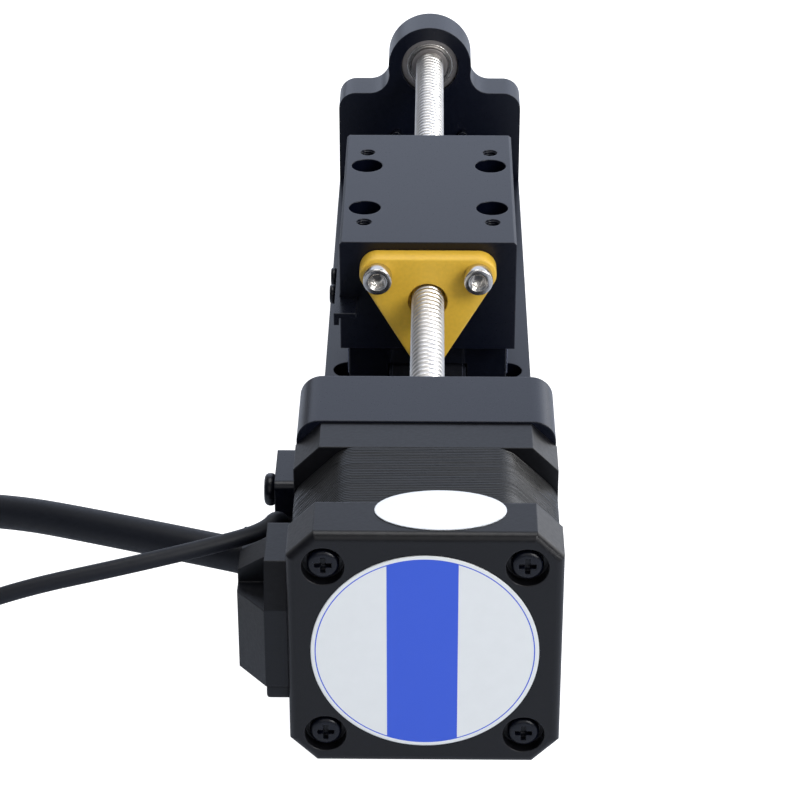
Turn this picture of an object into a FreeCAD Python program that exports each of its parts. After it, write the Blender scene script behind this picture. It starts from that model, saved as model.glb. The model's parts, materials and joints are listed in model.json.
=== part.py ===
"""Lead screw linear actuator: a stepper motor turns a screw that drives a carriage along a profile rail.

Millimetres. X is across the base, Y runs along the screw away from the motor, Z is up.
The origin is the middle of the base plate's underside.
"""

import math
import os
import re

import FreeCAD
import Part
import Sketcher

# Driving dimensions
SIZES = {
    # Base plate
    "base_width": 42,
    "base_length": 187,
    "base_thickness": 10,
    "base_hole_spacing_x": 32,
    "base_hole_spacing_y": 60,
    "base_hole_bore": 3.4,
    "base_hole_counterbore": 6.5,
    "base_hole_counterbore_depth": 3.4,
    # Motor mounting plate and its screws into the base
    "axis_above_base": 28.4,
    "mount_thickness": 15,
    "mount_above_axis": 21.5,
    "mount_corner_radius": 3.8,
    "mount_screw_bore": 12,
    "plate_screw_spacing": 24,
    "plate_screw_height": 5,
    "plate_screw_engagement": 10,
    # End bearing plate
    "end_plate_thickness": 9.2,
    "end_boss_radius": 9.5,
    "end_shoulder_below_axis": 6.55,
    "end_corner_radius": 4,
    "end_boss_fillet": 4.5,
    "end_bearing_recess": 0.8,
    "end_through_bore": 9,
    "stop_pin_spacing": 15.4,
    "stop_pin_below_axis": 16.7,
    "stop_pin_diameter": 2,
    "stop_pin_length": 6,
    "stop_pin_reach": 1.4,
    # End bearing
    "end_bearing_bore": 6,
    "end_bearing_outside": 13,
    "end_bearing_width": 5,
    "end_ring_wall": 1.1,
    "end_ball_diameter": 2.2,
    "end_ball_count": 8,
    # Motor
    "motor_width": 42.3,
    "front_cap_length": 7.8,
    "stator_length": 16.7,
    "rear_cap_length": 9.5,
    "cap_corner_cut": 4.2,
    "stator_corner_cut": 8,
    "rear_edge_radius": 1.4,
    "motor_hole_spacing": 31,
    "pilot_diameter": 22,
    "pilot_height": 2,
    "winding_room_diameter": 38,
    "winding_room_depth": 3,
    "stator_bore": 26,
    "slot_count": 8,
    "slot_inner_radius": 15,
    "slot_outer_radius": 18.3,
    "slot_inner_width": 5,
    "slot_outer_width": 8,
    "rotor_air_gap": 0.3,
    "rotor_cup_length": 6.5,
    "rotor_magnet_length": 3,
    "rotor_magnet_diameter": 22,
    "motor_bearing_bore": 5,
    "motor_bearing_outside": 16,
    "motor_bearing_width": 5,
    "motor_ring_wall": 1.6,
    "motor_shaft_hole": 11,
    "bearing_shield_thickness": 0.4,
    "wave_washer_thickness": 0.5,
    "rear_wall": 1.2,
    "case_head_recess": 6.6,
    "case_head_diameter": 5,
    "case_head_height": 1.8,
    "case_head_sunk": 0.3,
    "case_screw_engagement": 3.3,
    "mount_screw_engagement": 4,
    # Lead screw
    "screw_diameter": 6.35,
    "screw_end_past_bearing": 1,
    # Profile rail and its carriage block
    "rail_width": 15,
    "rail_height": 10,
    "rail_end_gap": 3.5,
    "rail_hole_inset": 10,
    "rail_hole_count": 5,
    "rail_hole_bore": 3.5,
    "rail_hole_counterbore": 6,
    "rail_hole_counterbore_depth": 4.5,
    "rail_groove_depth": 1.2,
    "rail_groove_low": 2.4,
    "rail_groove_high": 6.8,
    "rail_groove_floor": 2.2,
    "rail_screw_length": 12,
    "rail_edge_chamfer": 0.6,
    "block_width": 32,
    "block_top_above_base": 16,
    "block_bottom_above_base": 4,
    "block_inset": 4.35,
    "block_cap_length": 6.5,
    "block_seal_thickness": 1.2,
    "block_cap_inset": 0.5,
    "block_cap_radius": 1.2,
    "block_hole_spacing_x": 25,
    "block_hole_inset": 3.35,
    "block_screw_engagement": 4,
    "slide_clearance": 0.3,
    # Carriage
    "carriage_rest": 5,
    "carriage_width": 34,
    "carriage_length": 50.8,
    "carriage_above_axis": 10.6,
    "carriage_edge_chamfer": 0.5,
    "carriage_floor": 6,
    "carriage_counterbore": 6.3,
    "payload_spacing_x": 25,
    "payload_inset": 8.9,
    "payload_hole_depth": 9,
    "screw_tunnel": 8,
    "tongue_width": 7,
    "tongue_thickness": 3.8,
    # Lead nut
    "nut_flange_thickness": 4.1,
    "nut_bolt_circle": 22.2,
    "nut_lobe_radius": 3.5,
    "nut_edge_chamfer": 0.6,
    "nut_hub_diameter": 12.7,
    "nut_hub_length": 20,
    "nut_mouth_diameter": 7.6,
    "nut_mouth_depth": 2,
    "nut_screw_length": 7.5,
    # Sensor flag on the carriage
    "flag_thickness": 1,
    "flag_top_below_axis": 1.25,
    "flag_height": 4.4,
    "flag_blade_height": 2.5,
    "flag_tab_width": 4.3,
    "flag_reach": 6.9,
    "flag_length": 20.7,
    "flag_screw_spacing": 7.4,
    "flag_screw_from_face": 5.6,
    "flag_screw_below_axis": 3.45,
    "flag_screw_length": 2.2,
    # Home sensor on the mounting plate
    "sensor_width": 6.5,
    "sensor_length": 11,
    "sensor_height": 13,
    "sensor_inset": 0.5,
    "sensor_slot_height": 5,
    "sensor_slot_depth": 8,
    "sensor_ear_height": 4.5,
    "sensor_ear_thickness": 3,
    "sensor_screw_length": 7,
    "sensor_outlet_width": 3.5,
    "sensor_outlet_length": 5.5,
    "sensor_outlet_height": 5,
    # Cable clamp on the mounting plate
    "clamp_thickness": 3.9,
    "clamp_length": 12,
    "clamp_height": 17.2,
    "clamp_from_near_face": 1.5,
    "clamp_screw_pitch": 8,
    "clamp_corner_radius": 1.2,
    "clamp_screw_length": 9,
    # Cable hood on the motor
    "hood_far_from_face": 7,
    "hood_length": 24.5,
    "hood_reach": 8.15,
    "hood_inner_reach": 3.65,
    "hood_bevel_length": 5.6,
    "hood_lower_below_axis": 8.4,
    "hood_deck_above_axis": 5.7,
    "hood_top_above_axis": 13,
    "hood_lean": 2.9,
    "hood_upper_far": 17.5,
    "hood_boss_length": 5.8,
    "hood_boss_inner_height": 10.5,
    "hood_boss_outer_height": 7.9,
    "hood_lip_height": 2.4,
    "hood_lip_reach": 3.75,
    # Labels
    "label_diameter": 35.2,
    "label_thickness": 0.15,
    "top_label_length": 11.4,
    "top_label_width": 20.2,
    "top_label_offset_x": 2.3,
    "top_label_from_rear": 7.2,
    # Cables
    "motor_cable_diameter": 5.8,
    "sensor_cable_diameter": 2.7,
    "motor_plug_length": 16,
    "motor_plug_width": 11,
    "motor_plug_height": 7,
    "sensor_plug_length": 12,
    "sensor_plug_width": 8,
    "sensor_plug_height": 5,
    "plug_latch_height": 1,
    "plug_latch_inset": 2.5,
    # Fasteners
    "m2_shank": 1.9,
    "m2_tapped": 2,
    "m2_clear": 2.2,
    "m2_head": 3.8,
    "m2_head_height": 1.2,
    "m3_shank": 2.9,
    "m3_tapped": 3,
    "m3_clear": 3.4,
    "m3_head": 5.5,
    "m3_head_height": 3,
    "m3_key": 2.5,
    "m3_key_depth": 1.5,
    "m3_pan_height": 2,
    "m3_counterbore": 6.2,
    "m3_counterbore_depth": 3.2,
    "m4_shank": 3.9,
    "m4_tapped": 4,
    "m4_clear": 4.5,
    "m4_head": 7,
    "m4_head_height": 4,
    "m4_key": 3,
    "m4_key_depth": 2,
    "m4_counterbore": 7.6,
    "m4_counterbore_depth": 4.4,
    "thread_tail": 1.5,
    # Fits, on the radius
    "press_clearance": 0.01,
    "running_clearance": 0.05,
    "loose_clearance": 0.1,
    "shield_clearance": 0.3,
}

# Places and sizes that follow from the driving dimensions
PLACES = {
    "axis_z": "base_thickness + axis_above_base",
    "mount_near": "-base_length / 2 - mount_thickness",
    "mount_far": "-base_length / 2",
    "end_near": "base_length / 2",
    "motor_rear": "-front_cap_length - stator_length - rear_cap_length",
    "stator_near": "-front_cap_length - stator_length",
    "end_bearing_near": "end_near + end_bearing_recess - mount_near",
    "end_pocket_depth": "end_bearing_recess + end_bearing_width",
    "end_ball_circle": "(end_bearing_bore + end_bearing_outside) / 4",
    "front_bearing_near": "pilot_height / 2 - motor_bearing_width",
    "rear_bearing_near": "motor_rear + rear_wall + wave_washer_thickness",
    "rail_length": "base_length - 2 * rail_end_gap",
    "rail_hole_pitch": "(rail_length - 2 * rail_hole_inset) / (rail_hole_count - 1)",
    "block_steel_length": "carriage_length - 2 * (block_inset + block_cap_length + block_seal_thickness)",
    "block_hole_spacing_y": "block_steel_length - 2 * block_hole_inset",
    "payload_spacing_y": "carriage_length - 2 * payload_inset",
    "carriage_bottom": "base_thickness + block_top_above_base",
    "nut_face": "-carriage_length / 2 - nut_flange_thickness",
    "sensor_outset": "base_width / 2 - sensor_inset",
    "hood_far": "-hood_far_from_face",
    "hood_near": "-hood_far_from_face - hood_length",
    "hood_wall": "-motor_width / 2",
    "clamp_wall": "-base_width / 2",
    "clamp_middle": "mount_near + clamp_from_near_face + clamp_length / 2",
    "flag_level": "axis_z - flag_top_below_axis",
    "sensor_slot_level": "flag_level - flag_thickness / 2",
}

doc = FreeCAD.newDocument("linear_actuator")
sheet = doc.addObject("Spreadsheet::Sheet", "Sizes")
for row, (alias, size) in enumerate(SIZES.items(), start=1):
    sheet.set(f"A{row}", alias)
    sheet.set(f"B{row}", str(size))
    sheet.setAlias(f"B{row}", alias)
doc.recompute()
SUBPARTS = []


def formula(text):
    """The text with every place written out and every size read from the sheet."""

    def spell(found):
        word = found.group(0)
        if word in PLACES:
            return f"({formula(PLACES[word])})"
        return f"Sizes.{word}" if word in SIZES else word

    return re.sub(r"[a-z][a-z0-9_]*", spell, text)


def number(text):
    """The value of a formula, in millimetres."""
    found = sheet.evalExpression(formula(text))
    return float(getattr(found, "Value", found))


def bind(item, where, text):
    item.setExpression(where, formula(text))


def put(item, at):
    for axis, text in zip("xyz", at):
        bind(item, f"Placement.Base.{axis}", text)


def new_body(label, at=("0", "0", "0")):
    made = doc.addObject("PartDesign::Body", label)
    made.Label = label
    put(made, at)
    return made


def sub_part(label, at=("0", "0", "0")):
    made = new_body(label, at)
    SUBPARTS.append(made)
    return made


def circle(across, up, diameter):
    return ("circle", across, up, diameter)


def box_loop(left, right, low, high):
    return [(left, low), (right, low), (right, high), (left, high)]


PLANES = {"x": ("YZ_Plane", 1), "y": ("XZ_Plane", -1), "z": ("XY_Plane", 1)}


def pin_point(sketch, geometry, corner, across, up):
    """Hold one point of a sketch at two distances from its origin."""
    for kind, text, line in (("DistanceX", across, -2), ("DistanceY", up, -1)):
        if text == "0":
            sketch.addConstraint(Sketcher.Constraint("PointOnObject", geometry, corner, line))
        else:
            held = Sketcher.Constraint(kind, -1, 1, geometry, corner, number(text))
            index = sketch.addConstraint(held)
            bind(sketch, f"Constraints[{index}]", text)


def draw(sketch, loop):
    """One closed loop: a circle, or straight lines through corners."""
    if loop[0] == "circle":
        _, across, up, diameter = loop
        middle = FreeCAD.Vector(number(across), number(up), 0)
        ring = Part.Circle(middle, FreeCAD.Vector(0, 0, 1), number(diameter) / 2)
        made = sketch.addGeometry(ring)
        pin_point(sketch, made, 3, across, up)
        held = Sketcher.Constraint("Diameter", made, number(diameter))
        index = sketch.addConstraint(held)
        bind(sketch, f"Constraints[{index}]", diameter)
        return
    spots = [FreeCAD.Vector(number(across), number(up), 0) for across, up in loop]
    lines = [
        sketch.addGeometry(Part.LineSegment(start, end))
        for start, end in zip(spots, spots[1:] + spots[:1])
    ]
    for line, following in zip(lines, lines[1:] + lines[:1]):
        sketch.addConstraint(Sketcher.Constraint("Coincident", line, 2, following, 1))
    for line, (across, up) in zip(lines, loop):
        pin_point(sketch, line, 1, across, up)


def new_sketch(owner, name, axis, start, loops):
    role, sign = PLANES[axis]
    sketch = owner.newObject("Sketcher::SketchObject", name)
    plane = next(item for item in owner.Origin.OriginFeatures if item.Role == role)
    sketch.AttachmentSupport = [(plane, "")]
    sketch.MapMode = "FlatFace"
    bind(sketch, "AttachmentOffset.Base.z", f"{sign} * ({start})")
    for loop in loops:
        draw(sketch, loop)
    return sketch


def extrude(owner, name, axis, loops, start, length):
    """A pad along X, Y or Z from start, its loops in the other two directions."""
    sketch = new_sketch(owner, f"{name}_sketch", axis, start, loops)
    pad = owner.newObject("PartDesign::Pad", name)
    pad.Profile = sketch
    pad.Reversed = axis == "y"
    bind(pad, "Length", length)
    sketch.Visibility = False
    return pad


def volume(owner):
    doc.recompute()
    return owner.Shape.Volume


def cut(owner, name, axis, loops, start, length):
    """A pocket along X, Y or Z from start, which has to take something away."""
    before = volume(owner)
    sketch = new_sketch(owner, f"{name}_sketch", axis, start, loops)
    pocket = owner.newObject("PartDesign::Pocket", name)
    pocket.Profile = sketch
    pocket.Reversed = axis != "y"
    bind(pocket, "Length", length)
    sketch.Visibility = False
    if volume(owner) > before - 1e-6:
        raise RuntimeError(f"{owner.Label}: {name} cuts nothing")
    return pocket


def turned(owner, name, loops, kind="PartDesign::Revolution"):
    """A shape turned round the Y axis, its loops given along Y and outwards."""
    sketch = new_sketch(owner, f"{name}_sketch", "x", "0", loops)
    made = owner.newObject(kind, name)
    made.Profile = sketch
    made.ReferenceAxis = (sketch, ["H_Axis"])
    made.Angle = 360
    sketch.Visibility = False
    return made


def soften(owner, name, kind, size, wanted):
    """A fillet or chamfer on the edges whose middle the test wants."""
    doc.recompute()
    base = owner.Tip
    names = [
        f"Edge{index}"
        for index, edge in enumerate(base.Shape.Edges, start=1)
        if wanted(edge.CenterOfMass, edge)
    ]
    if not names:
        raise RuntimeError(f"{owner.Label}: {name} finds no edge")
    made = owner.newObject(f"PartDesign::{kind}", name)
    made.Base = (base, names)
    bind(made, "Radius" if kind == "Fillet" else "Size", size)
    return made


def near(value, text):
    return abs(value - number(text)) < 0.01


def repeat_round(owner, name, feature, count):
    """Copies of a feature evenly round the Y axis."""
    pattern = owner.newObject("PartDesign::PolarPattern", name)
    pattern.Originals = [feature]
    pattern.Axis = (feature.Profile[0], ["N_Axis"])
    pattern.Angle = 360
    bind(pattern, "Occurrences", count)
    owner.Tip = pattern
    return pattern


def corners(spacing_x, spacing_y):
    """Four formula pairs at the corners of a rectangle about the origin."""
    return [
        (f"{a} * {spacing_x} / 2", f"{b} * {spacing_y} / 2")
        for a in ("-1", "1")
        for b in ("-1", "1")
    ]


TURNS = {
    "+y": FreeCAD.Rotation(),
    "-y": FreeCAD.Rotation(FreeCAD.Vector(0, 0, 1), 180),
    "-z": FreeCAD.Rotation(FreeCAD.Vector(1, 0, 0), -90),
    "+x": FreeCAD.Rotation(FreeCAD.Vector(0, 0, 1), -90),
}


def group(label, template, direction, spots):
    """Copies of one fastener, its head's seat at each spot and its shank along a direction."""
    doc.recompute()
    copies = []
    for spot in spots:
        copy = template.Shape.copy()
        place = FreeCAD.Vector(*(number(text) for text in spot))
        copy.Placement = FreeCAD.Placement(place, TURNS[direction])
        copies.append(copy)
    made = doc.addObject("Part::Feature", label)
    made.Label = label
    made.Shape = Part.makeCompound(copies)
    SUBPARTS.append(made)
    return made


def hexagon(key):
    return [
        (f"{key} / sqrt(3) * cos(60 * {turn})", f"{key} / sqrt(3) * sin(60 * {turn})")
        for turn in range(6)
    ]


def fastener(label, head, head_height, shank, length):
    """A screw along +Y with the seat of its head at the origin."""
    screw = new_body(label)
    extrude(screw, "head", "y", [circle("0", "0", head)], f"-1 * {head_height}", head_height)
    extrude(screw, "shank", "y", [circle("0", "0", shank)], "0", length)
    return screw


def socket_screw(label, thread, length):
    """A socket head cap screw of the m3 or m4 sizes."""
    head_height = f"{thread}_head_height"
    screw = fastener(label, f"{thread}_head", head_height, f"{thread}_shank", length)
    key = hexagon(f"{thread}_key")
    cut(screw, "socket", "y", [key], f"-1 * {head_height}", f"{thread}_key_depth")
    return screw


def rail_spots():
    """Where the rail's screws stand along Y."""
    return [
        f"({index} - (rail_hole_count - 1) / 2) * rail_hole_pitch"
        for index in range(round(number("rail_hole_count")))
    ]


PLATE_SCREW_X = ["-plate_screw_spacing / 2", "plate_screw_spacing / 2"]
MOTOR_CORNERS = corners("motor_hole_spacing", "motor_hole_spacing")
BASE_HOLES = [
    (side, row)
    for side in ("-base_hole_spacing_x / 2", "base_hole_spacing_x / 2")
    for row in ("-base_hole_spacing_y", "0", "base_hole_spacing_y")
]


# Base plate: counterbored holes down to a bench, tapped holes for the rail and for the two end plates
base = sub_part("base_plate")
base_outline = box_loop("-base_width / 2", "base_width / 2", "-base_length / 2", "base_length / 2")
extrude(base, "plate", "z", [base_outline], "0", "base_thickness")
bores = [circle(x, y, "base_hole_bore") for x, y in BASE_HOLES]
cut(base, "mounting_bores", "z", bores, "0", "base_thickness")
seats = [circle(x, y, "base_hole_counterbore") for x, y in BASE_HOLES]
seat_level = "base_thickness - base_hole_counterbore_depth"
cut(base, "mounting_counterbores", "z", seats, seat_level, "base_hole_counterbore_depth")
rail_thread = "rail_screw_length - rail_height + rail_hole_counterbore_depth + thread_tail"
rail_threads = [circle("0", y, "m3_tapped") for y in rail_spots()]
cut(base, "rail_threads", "z", rail_threads, f"base_thickness - ({rail_thread})", rail_thread)
plate_threads = [circle(x, "plate_screw_height", "m4_tapped") for x in PLATE_SCREW_X]
plate_thread = "plate_screw_engagement + thread_tail"
cut(base, "motor_end_threads", "y", plate_threads, "-base_length / 2", plate_thread)
cut(base, "far_end_threads", "y", plate_threads, f"base_length / 2 - ({plate_thread})", plate_thread)


# Motor mounting plate, about the screw's axis, from its face against the motor
ON_MOTOR = ("0", "mount_near", "axis_z")
mount = sub_part("motor_mount_plate", at=ON_MOTOR)
mount_outline = box_loop("-base_width / 2", "base_width / 2", "-axis_z", "mount_above_axis")
extrude(mount, "plate", "y", [mount_outline], "0", "mount_thickness")
soften(
    mount,
    "top_corners",
    "Fillet",
    "mount_corner_radius",
    lambda middle, edge: near(middle.z, "mount_above_axis") and near(abs(middle.x), "base_width / 2"),
)
pilot_seat = circle("0", "0", "pilot_diameter + 2 * loose_clearance")
cut(mount, "pilot_seat", "y", [pilot_seat], "0", "pilot_height + loose_clearance")
cut(mount, "screw_bore", "y", [circle("0", "0", "mount_screw_bore")], "0", "mount_thickness")
motor_bores = [circle(x, z, "m3_clear") for x, z in MOTOR_CORNERS]
cut(mount, "motor_bores", "y", motor_bores, "0", "mount_thickness")
motor_seats = [circle(x, z, "m3_counterbore") for x, z in MOTOR_CORNERS]
motor_seat_level = "mount_thickness - m3_counterbore_depth"
cut(mount, "motor_counterbores", "y", motor_seats, motor_seat_level, "m3_counterbore_depth")
plate_bores = [circle(x, "plate_screw_height - axis_z", "m4_clear") for x in PLATE_SCREW_X]
plate_seats = [circle(x, "plate_screw_height - axis_z", "m4_counterbore") for x in PLATE_SCREW_X]
cut(mount, "base_bores", "y", plate_bores, "0", "mount_thickness")
cut(mount, "base_counterbores", "y", plate_seats, "0", "m4_counterbore_depth")
clamp_threads = [
    circle("clamp_from_near_face + clamp_length / 2", f"{side} * clamp_screw_pitch / 2", "m3_tapped")
    for side in ("-1", "1")
]
clamp_thread = "clamp_screw_length - clamp_thickness + thread_tail"
cut(mount, "clamp_threads", "x", clamp_threads, "clamp_wall", clamp_thread)
SENSOR_X = "sensor_width / 2 - sensor_outset"
SENSOR_EARS = [
    f"{side} * (sensor_height + sensor_ear_height) / 2 + sensor_slot_level - axis_z"
    for side in ("-1", "1")
]
sensor_threads = [circle(SENSOR_X, z, "m2_tapped") for z in SENSOR_EARS]
sensor_thread = "sensor_screw_length - sensor_ear_thickness + thread_tail"
sensor_thread_start = f"mount_thickness - ({sensor_thread})"
cut(mount, "sensor_threads", "y", sensor_threads, sensor_thread_start, sensor_thread)


# End bearing plate: square shoulders, and a round boss about the bearing
end = sub_part("end_bearing_plate", at=("0", "end_near", "axis_z"))
end_outline = box_loop("-base_width / 2", "base_width / 2", "-axis_z", "-end_shoulder_below_axis")
extrude(end, "plate", "y", [end_outline], "0", "end_plate_thickness")
extrude(end, "boss", "y", [circle("0", "0", "2 * end_boss_radius")], "0", "end_plate_thickness")
soften(
    end,
    "boss_roots",
    "Fillet",
    "end_boss_fillet",
    lambda middle, edge: near(middle.z, "-end_shoulder_below_axis")
    and near(middle.y, "end_plate_thickness / 2")
    and abs(middle.x) < number("end_boss_radius"),
)
soften(
    end,
    "shoulder_corners",
    "Fillet",
    "end_corner_radius",
    lambda middle, edge: near(middle.z, "-end_shoulder_below_axis")
    and near(abs(middle.x), "base_width / 2"),
)
bearing_seat = circle("0", "0", "end_bearing_outside + 2 * press_clearance")
cut(end, "bearing_seat", "y", [bearing_seat], "0", "end_pocket_depth")
cut(end, "journal_bore", "y", [circle("0", "0", "end_through_bore")], "0", "end_plate_thickness")
cut(end, "base_bores", "y", plate_bores, "0", "end_plate_thickness")
end_seat_level = "end_plate_thickness - m4_counterbore_depth"
cut(end, "base_counterbores", "y", plate_seats, end_seat_level, "m4_counterbore_depth")
PIN_X = ["-stop_pin_spacing / 2", "stop_pin_spacing / 2"]
pin_diameter = "stop_pin_diameter + 2 * press_clearance"
pin_holes = [circle(x, "-stop_pin_below_axis", pin_diameter) for x in PIN_X]
cut(end, "pin_holes", "y", pin_holes, "0", "stop_pin_length - stop_pin_reach")

pin = new_body("stop_pin")
extrude(pin, "pin", "y", [circle("0", "0", "stop_pin_diameter")], "-stop_pin_reach", "stop_pin_length")
group("end_stop_pins", pin, "+y", [(x, "end_near", "axis_z - stop_pin_below_axis") for x in PIN_X])

mount_grip = "mount_thickness - m4_counterbore_depth"
mount_screw = socket_screw("mount_plate_screw", "m4", f"{mount_grip} + plate_screw_engagement")
mount_spots = [(x, "mount_near + m4_counterbore_depth", "plate_screw_height") for x in PLATE_SCREW_X]
group("mount_plate_screws", mount_screw, "+y", mount_spots)
end_grip = "end_plate_thickness - m4_counterbore_depth"
end_screw = socket_screw("end_plate_screw", "m4", f"{end_grip} + plate_screw_engagement")
end_spots = [(x, f"end_near + {end_grip}", "plate_screw_height") for x in PLATE_SCREW_X]
group("end_plate_screws", end_screw, "-y", end_spots)


# Profile rail with a ball groove along each flank
def rail_flank(side):
    """One flank of the rail from its foot to its top edge."""
    half = "rail_width / 2"
    middle = "(rail_groove_low + rail_groove_high) / 2"
    return [
        (f"{side} * {half}", "0"),
        (f"{side} * {half}", "rail_groove_low"),
        (f"{side} * ({half} - rail_groove_depth)", f"{middle} - rail_groove_floor / 2"),
        (f"{side} * ({half} - rail_groove_depth)", f"{middle} + rail_groove_floor / 2"),
        (f"{side} * {half}", "rail_groove_high"),
        (f"{side} * {half}", "rail_height - rail_edge_chamfer"),
        (f"{side} * ({half} - rail_edge_chamfer)", "rail_height"),
    ]


rail = sub_part("guide_rail", at=("0", "0", "base_thickness"))
rail_outline = rail_flank("1") + rail_flank("-1")[::-1]
extrude(rail, "rail", "y", [rail_outline], "-rail_length / 2", "rail_length")
rail_bores = [circle("0", y, "rail_hole_bore") for y in rail_spots()]
cut(rail, "screw_bores", "z", rail_bores, "0", "rail_height")
rail_seats = [circle("0", y, "rail_hole_counterbore") for y in rail_spots()]
rail_seat_level = "rail_height - rail_hole_counterbore_depth"
cut(rail, "screw_counterbores", "z", rail_seats, rail_seat_level, "rail_hole_counterbore_depth")

rail_screw = socket_screw("rail_screw", "m3", "rail_screw_length")
rail_screw_level = f"base_thickness + {rail_seat_level}"
group("rail_screws", rail_screw, "-z", [("0", y, rail_screw_level) for y in rail_spots()])


def ring_loop(near_end, length, inner, outer):
    """Half the section of a ring: along Y and outwards."""
    return box_loop(near_end, f"{near_end} + {length}", inner, outer)


def round_group(label, template, count, at):
    """Copies of a template turned evenly about the Y axis, then put in place."""
    doc.recompute()
    copies = []
    for index in range(round(number(count))):
        copy = template.Shape.copy()
        copy.rotate(FreeCAD.Vector(), FreeCAD.Vector(0, 1, 0), 360 / number(count) * index)
        copies.append(copy)
    made = doc.addObject("Part::Feature", label)
    made.Label = label
    made.Shape = Part.makeCompound(copies)
    made.Placement.Base = FreeCAD.Vector(*(number(text) for text in at))
    SUBPARTS.append(made)
    return made


# End bearing: two rings with a ball race between them, eight balls and two shields
ball_middle = "end_bearing_near + end_bearing_width / 2"
race_reach = "(end_ball_diameter / 2 + running_clearance) / cos(22.5)"
race_turns = [f"22.5 + 45 * {index}" for index in range(8)]
ball_race = [
    (f"{ball_middle} + {race_reach} * cos({turn})", f"end_ball_circle + {race_reach} * sin({turn})")
    for turn in race_turns
]
end_inner_wall = "end_bearing_bore / 2 + end_ring_wall"
end_outer_wall = "end_bearing_outside / 2 - end_ring_wall"

outer_ring = sub_part("end_bearing_outer_ring", at=ON_MOTOR)
outer_section = ring_loop(
    "end_bearing_near", "end_bearing_width", end_outer_wall, "end_bearing_outside / 2"
)
turned(outer_ring, "ring", [outer_section])
turned(outer_ring, "race", [ball_race], "PartDesign::Groove")

inner_ring = sub_part("end_bearing_inner_ring", at=ON_MOTOR)
inner_section = ring_loop(
    "end_bearing_near", "end_bearing_width", "end_bearing_bore / 2", end_inner_wall
)
turned(inner_ring, "ring", [inner_section])
turned(inner_ring, "race", [ball_race], "PartDesign::Groove")

ball = doc.addObject("Part::Sphere", "bearing_ball")
bind(ball, "Radius", "end_ball_diameter / 2")
put(ball, ("end_ball_circle", ball_middle, "0"))
round_group("end_bearing_balls", ball, "end_ball_count", ON_MOTOR)

shield = new_body("end_bearing_shield")
shield_section = ring_loop(
    "0",
    "bearing_shield_thickness",
    f"{end_inner_wall} + shield_clearance / 2",
    f"{end_outer_wall} - press_clearance",
)
turned(shield, "ring", [shield_section])
shield_levels = ["0", "end_bearing_width - bearing_shield_thickness"]
shield_spots = [("0", f"mount_near + end_bearing_near + {level}", "axis_z") for level in shield_levels]
group("end_bearing_shields", shield, "+y", shield_spots)


def cut_square(cut_size):
    """The motor's square outline with its corners cut at 45 degrees."""
    half = "motor_width / 2"
    inside = f"(motor_width / 2 - {cut_size})"
    return [
        (f"-{inside}", f"-{half}"),
        (inside, f"-{half}"),
        (half, f"-{inside}"),
        (half, inside),
        (inside, half),
        (f"-{inside}", half),
        (f"-{half}", inside),
        (f"-{half}", f"-{inside}"),
    ]


# Motor front cap: pilot boss into the mounting plate, bearing seat, room for the coil heads
front = sub_part("motor_front_cap", at=ON_MOTOR)
extrude(front, "cap", "y", [cut_square("cap_corner_cut")], "-front_cap_length", "front_cap_length")
extrude(front, "pilot", "y", [circle("0", "0", "pilot_diameter")], "0", "pilot_height")
winding_room = circle("0", "0", "winding_room_diameter")
cut(front, "winding_room", "y", [winding_room], "-front_cap_length", "winding_room_depth")
motor_seat = circle("0", "0", "motor_bearing_outside + 2 * press_clearance")
cut(front, "bearing_seat", "y", [motor_seat], "-front_cap_length", "front_cap_length + pilot_height / 2")
shaft_hole = circle("0", "0", "motor_shaft_hole")
cut(front, "shaft_hole", "y", [shaft_hole], "0", "pilot_height")
case_threads = [circle(x, z, "m3_tapped") for x, z in MOTOR_CORNERS]
cut(front, "case_threads", "y", case_threads, "-front_cap_length", "front_cap_length")


# Stator: a stack with a bore for the rotor and eight slots for the coils
def slot_loop(clearance):
    return [
        (f"-slot_inner_width / 2 + {clearance}", f"slot_inner_radius + {clearance}"),
        (f"slot_inner_width / 2 - {clearance}", f"slot_inner_radius + {clearance}"),
        (f"slot_outer_width / 2 - {clearance}", f"slot_outer_radius - {clearance}"),
        (f"-slot_outer_width / 2 + {clearance}", f"slot_outer_radius - {clearance}"),
    ]


stator = sub_part("motor_stator", at=ON_MOTOR)
extrude(stator, "stack", "y", [cut_square("stator_corner_cut")], "stator_near", "stator_length")
cut(stator, "rotor_bore", "y", [circle("0", "0", "stator_bore")], "stator_near", "stator_length")
cut(stator, "case_bores", "y", motor_bores, "stator_near", "stator_length")
slot = cut(stator, "slot", "y", [slot_loop("0")], "stator_near", "stator_length")
repeat_round(stator, "slots", slot, "slot_count")

coil_head = "winding_room_depth - 2 * loose_clearance"
coil = new_body("stator_coil")
extrude(
    coil,
    "coil",
    "y",
    [slot_loop("loose_clearance")],
    f"stator_near - ({coil_head})",
    f"stator_length + 2 * ({coil_head})",
)
round_group("stator_windings", coil, "slot_count", ON_MOTOR)


# Motor rear cap: rounded rear edge, sunk heads of the four long case screws, bearing seat
rear = sub_part("motor_rear_cap", at=ON_MOTOR)
extrude(rear, "cap", "y", [cut_square("cap_corner_cut")], "motor_rear", "rear_cap_length")
soften(
    rear,
    "rear_edge",
    "Fillet",
    "rear_edge_radius",
    lambda middle, edge: near(middle.y, "motor_rear"),
)
rear_room = "stator_near - winding_room_depth"
cut(rear, "winding_room", "y", [winding_room], rear_room, "winding_room_depth")
rear_seat = "motor_rear + rear_wall"
cut(rear, "bearing_seat", "y", [motor_seat], rear_seat, f"stator_near - ({rear_seat})")
case_seats = [circle(x, z, "case_head_recess") for x, z in MOTOR_CORNERS]
case_seat_depth = "case_head_height + case_head_sunk"
cut(rear, "case_recesses", "y", case_seats, "motor_rear", case_seat_depth)
cut(rear, "case_bores", "y", motor_bores, "motor_rear", "rear_cap_length")

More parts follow.
